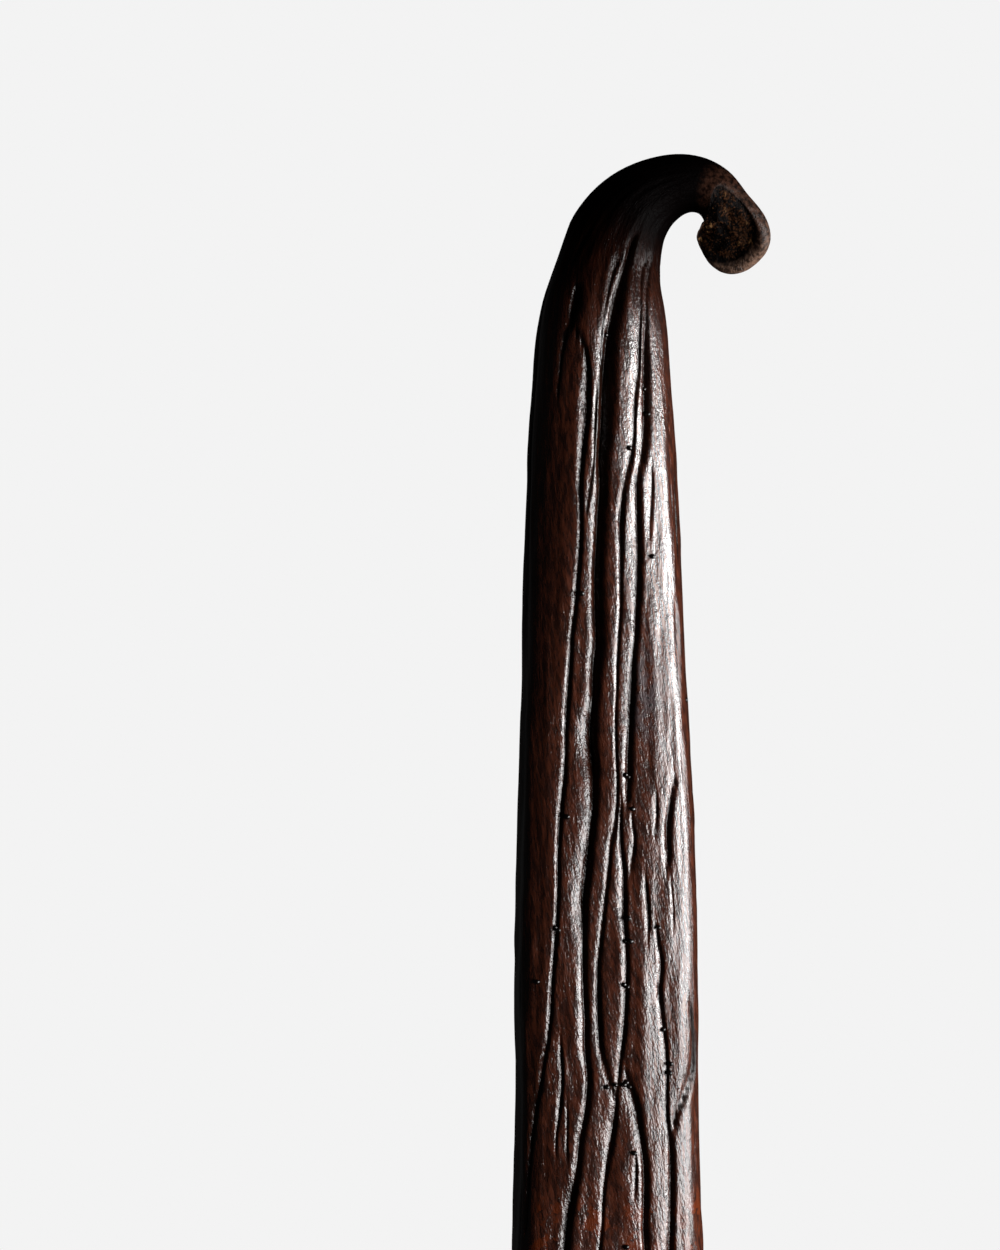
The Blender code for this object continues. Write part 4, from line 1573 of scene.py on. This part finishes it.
@dataclass
class Studio:
    """Plain pale floor, big soft lights on the side that the hook curls to, and the camera."""

    floor_colour: str = "#f3f3f3"
    floor_size: float = 4000.0
    floor_drop: float = 0.02
    dimness: float = 0.015
    lens: float = 100.0
    sensor: float = 36.0
    view_height: float = 55.8
    aim_right: float = 4.53
    aim_down: float = 21.05
    aim_level: float = 3.0
    aimed_at: float = 3.1                            # distance along whose middle it is aimed by
    clip: tuple[float, float] = (10.0, 10000.0)
    shown_below: float = 40.0                        # the shown stretch's middle, below the crown
    softboxes: tuple[Softbox, ...] = (
        Softbox("side_softbox", (200.0, -8.0, 112.0), (0.0, -8.0, 112.0), (105.0, 150.0), 0.7),
        Softbox("softbox_core", (198.0, 20.0, 32.0), (0.0, 20.0, 32.0), (36.0, 90.0), 0.55),
        Softbox("high_softbox", (165.0, -38.0, 168.0), (0.0, -38.0, 0.0), (80.0, 90.0), 0.36),
        Softbox("top_fill", (-60.0, 0.0, 420.0), (0.0, 0.0, 0.0), (200.0, 200.0), 0.0015))

    def floor(self) -> bpy.types.Object:
        """Adds the floor, which shines evenly so that it stays plain.

        Returns:
            The floor.
        """
        deselect()
        bpy.ops.mesh.primitive_plane_add(size=self.floor_size * MM,
                                         location=(0.0, 0.0, -self.floor_drop * MM))
        floor = bpy.context.object
        floor.name = "studio_floor"
        made, tree = new_material("pale_floor")
        glow = add_node(tree, "ShaderNodeEmission", inputs={
            "Color": linear(self.floor_colour), "Strength": 1.0})
        add_node(tree, "ShaderNodeOutputMaterial", inputs={"Surface": glow.outputs[0]})
        floor.data.materials.append(made)
        floor.visible_diffuse = False
        floor.visible_glossy = False
        floor.visible_transmission = False
        floor.visible_shadow = False
        return floor

    def camera(self, body_middle: float, top: float) -> bpy.types.Object:
        """Adds the camera, which looks straight down on the pod's stem end.

        Args:
            body_middle: X of the body's middle just below the neck.
            top: Y of the hook's crown.

        Returns:
            The camera.
        """
        data = bpy.data.cameras.new("camera")
        data.lens, data.sensor_width = self.lens, self.sensor
        data.clip_start, data.clip_end = (distance * MM for distance in self.clip)
        camera = bpy.data.objects.new("camera", data)
        bpy.context.scene.collection.objects.link(camera)
        distance = self.view_height * self.lens / self.sensor
        camera.location = Vector((body_middle - self.aim_right, top - self.aim_down,
                                  self.aim_level + distance)) * MM
        bpy.context.scene.camera = camera
        return camera

    def surroundings(self) -> None:
        """Makes the world pale to the camera and almost dark to the pod."""
        world = bpy.data.worlds.new("studio")
        bpy.context.scene.world = world
        world.use_nodes = True
        tree = world.node_tree
        tree.nodes.clear()
        seen = add_node(tree, "ShaderNodeLightPath")
        dim = add_node(tree, "ShaderNodeBackground", inputs={
            "Color": (1.0, 1.0, 1.0, 1.0), "Strength": self.dimness})
        pale = add_node(tree, "ShaderNodeBackground", inputs={
            "Color": linear(self.floor_colour), "Strength": 1.0})
        mix = add_node(tree, "ShaderNodeMixShader", inputs={
            0: seen.outputs["Is Camera Ray"], 1: dim.outputs[0], 2: pale.outputs[0]})
        add_node(tree, "ShaderNodeOutputWorld", inputs={"Surface": mix.outputs[0]})

    def build(self, form: PodForm, top: float) -> None:
        """Sets up everything round the pod.

        Args:
            form: the pod's form, already placed.
            top: Y of the hook's crown.
        """
        self.floor()
        for softbox in self.softboxes:
            softbox.build(top - self.shown_below)
        middle = form.frames(np.array([self.aimed_at]))[0][0, 0] + form.offset[0]
        self.camera(float(middle), top)
        self.surroundings()
        bpy.context.scene.view_settings.view_transform = "Standard"


def place_form() -> PodForm:
    """The pod's form, moved so that its skin's box has the same middle in X and Y as the solid's.

    Returns:
        The form with its furrows and its place.
    """
    form = PodForm(furrows=FACE_CREASES + FurrowHabit().grow(PodForm.body_length))
    low, high = (np.array(corner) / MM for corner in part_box(NODE))
    round_pod = np.arange(-180.0, 180.0, PROBE_STEP)
    rings = PodSkin(form).rings()
    along, scale = (np.repeat(values, len(round_pod)) for values in rings)
    points = form.skin_points(along, np.tile(round_pod, len(rings[0])), scale)
    middle = 0.5 * (points.min(axis=0) + points.max(axis=0))
    form.offset = (0.5 * (low + high) - middle) * np.array((1.0, 1.0, 0.0))
    return form


def main() -> None:
    """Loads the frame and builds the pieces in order."""
    logging.basicConfig(level=logging.INFO, format="%(message)s")
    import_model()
    form = place_form()
    skin = PodSkin(form).build()
    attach(skin, BODY)
    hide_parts(NODE)
    log.info("%s: %d faces", skin.name, len(skin.data.polygons))
    seeds = LooseSeeds(form).build()
    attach(seeds, BODY)
    log.info("%s: %d faces", seeds.name, len(seeds.data.polygons))
    Studio().build(form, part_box(NODE)[1].y / MM)
    log.info("studio: %d lights", len(Studio.softboxes))


if __name__ == "__main__":
    main()
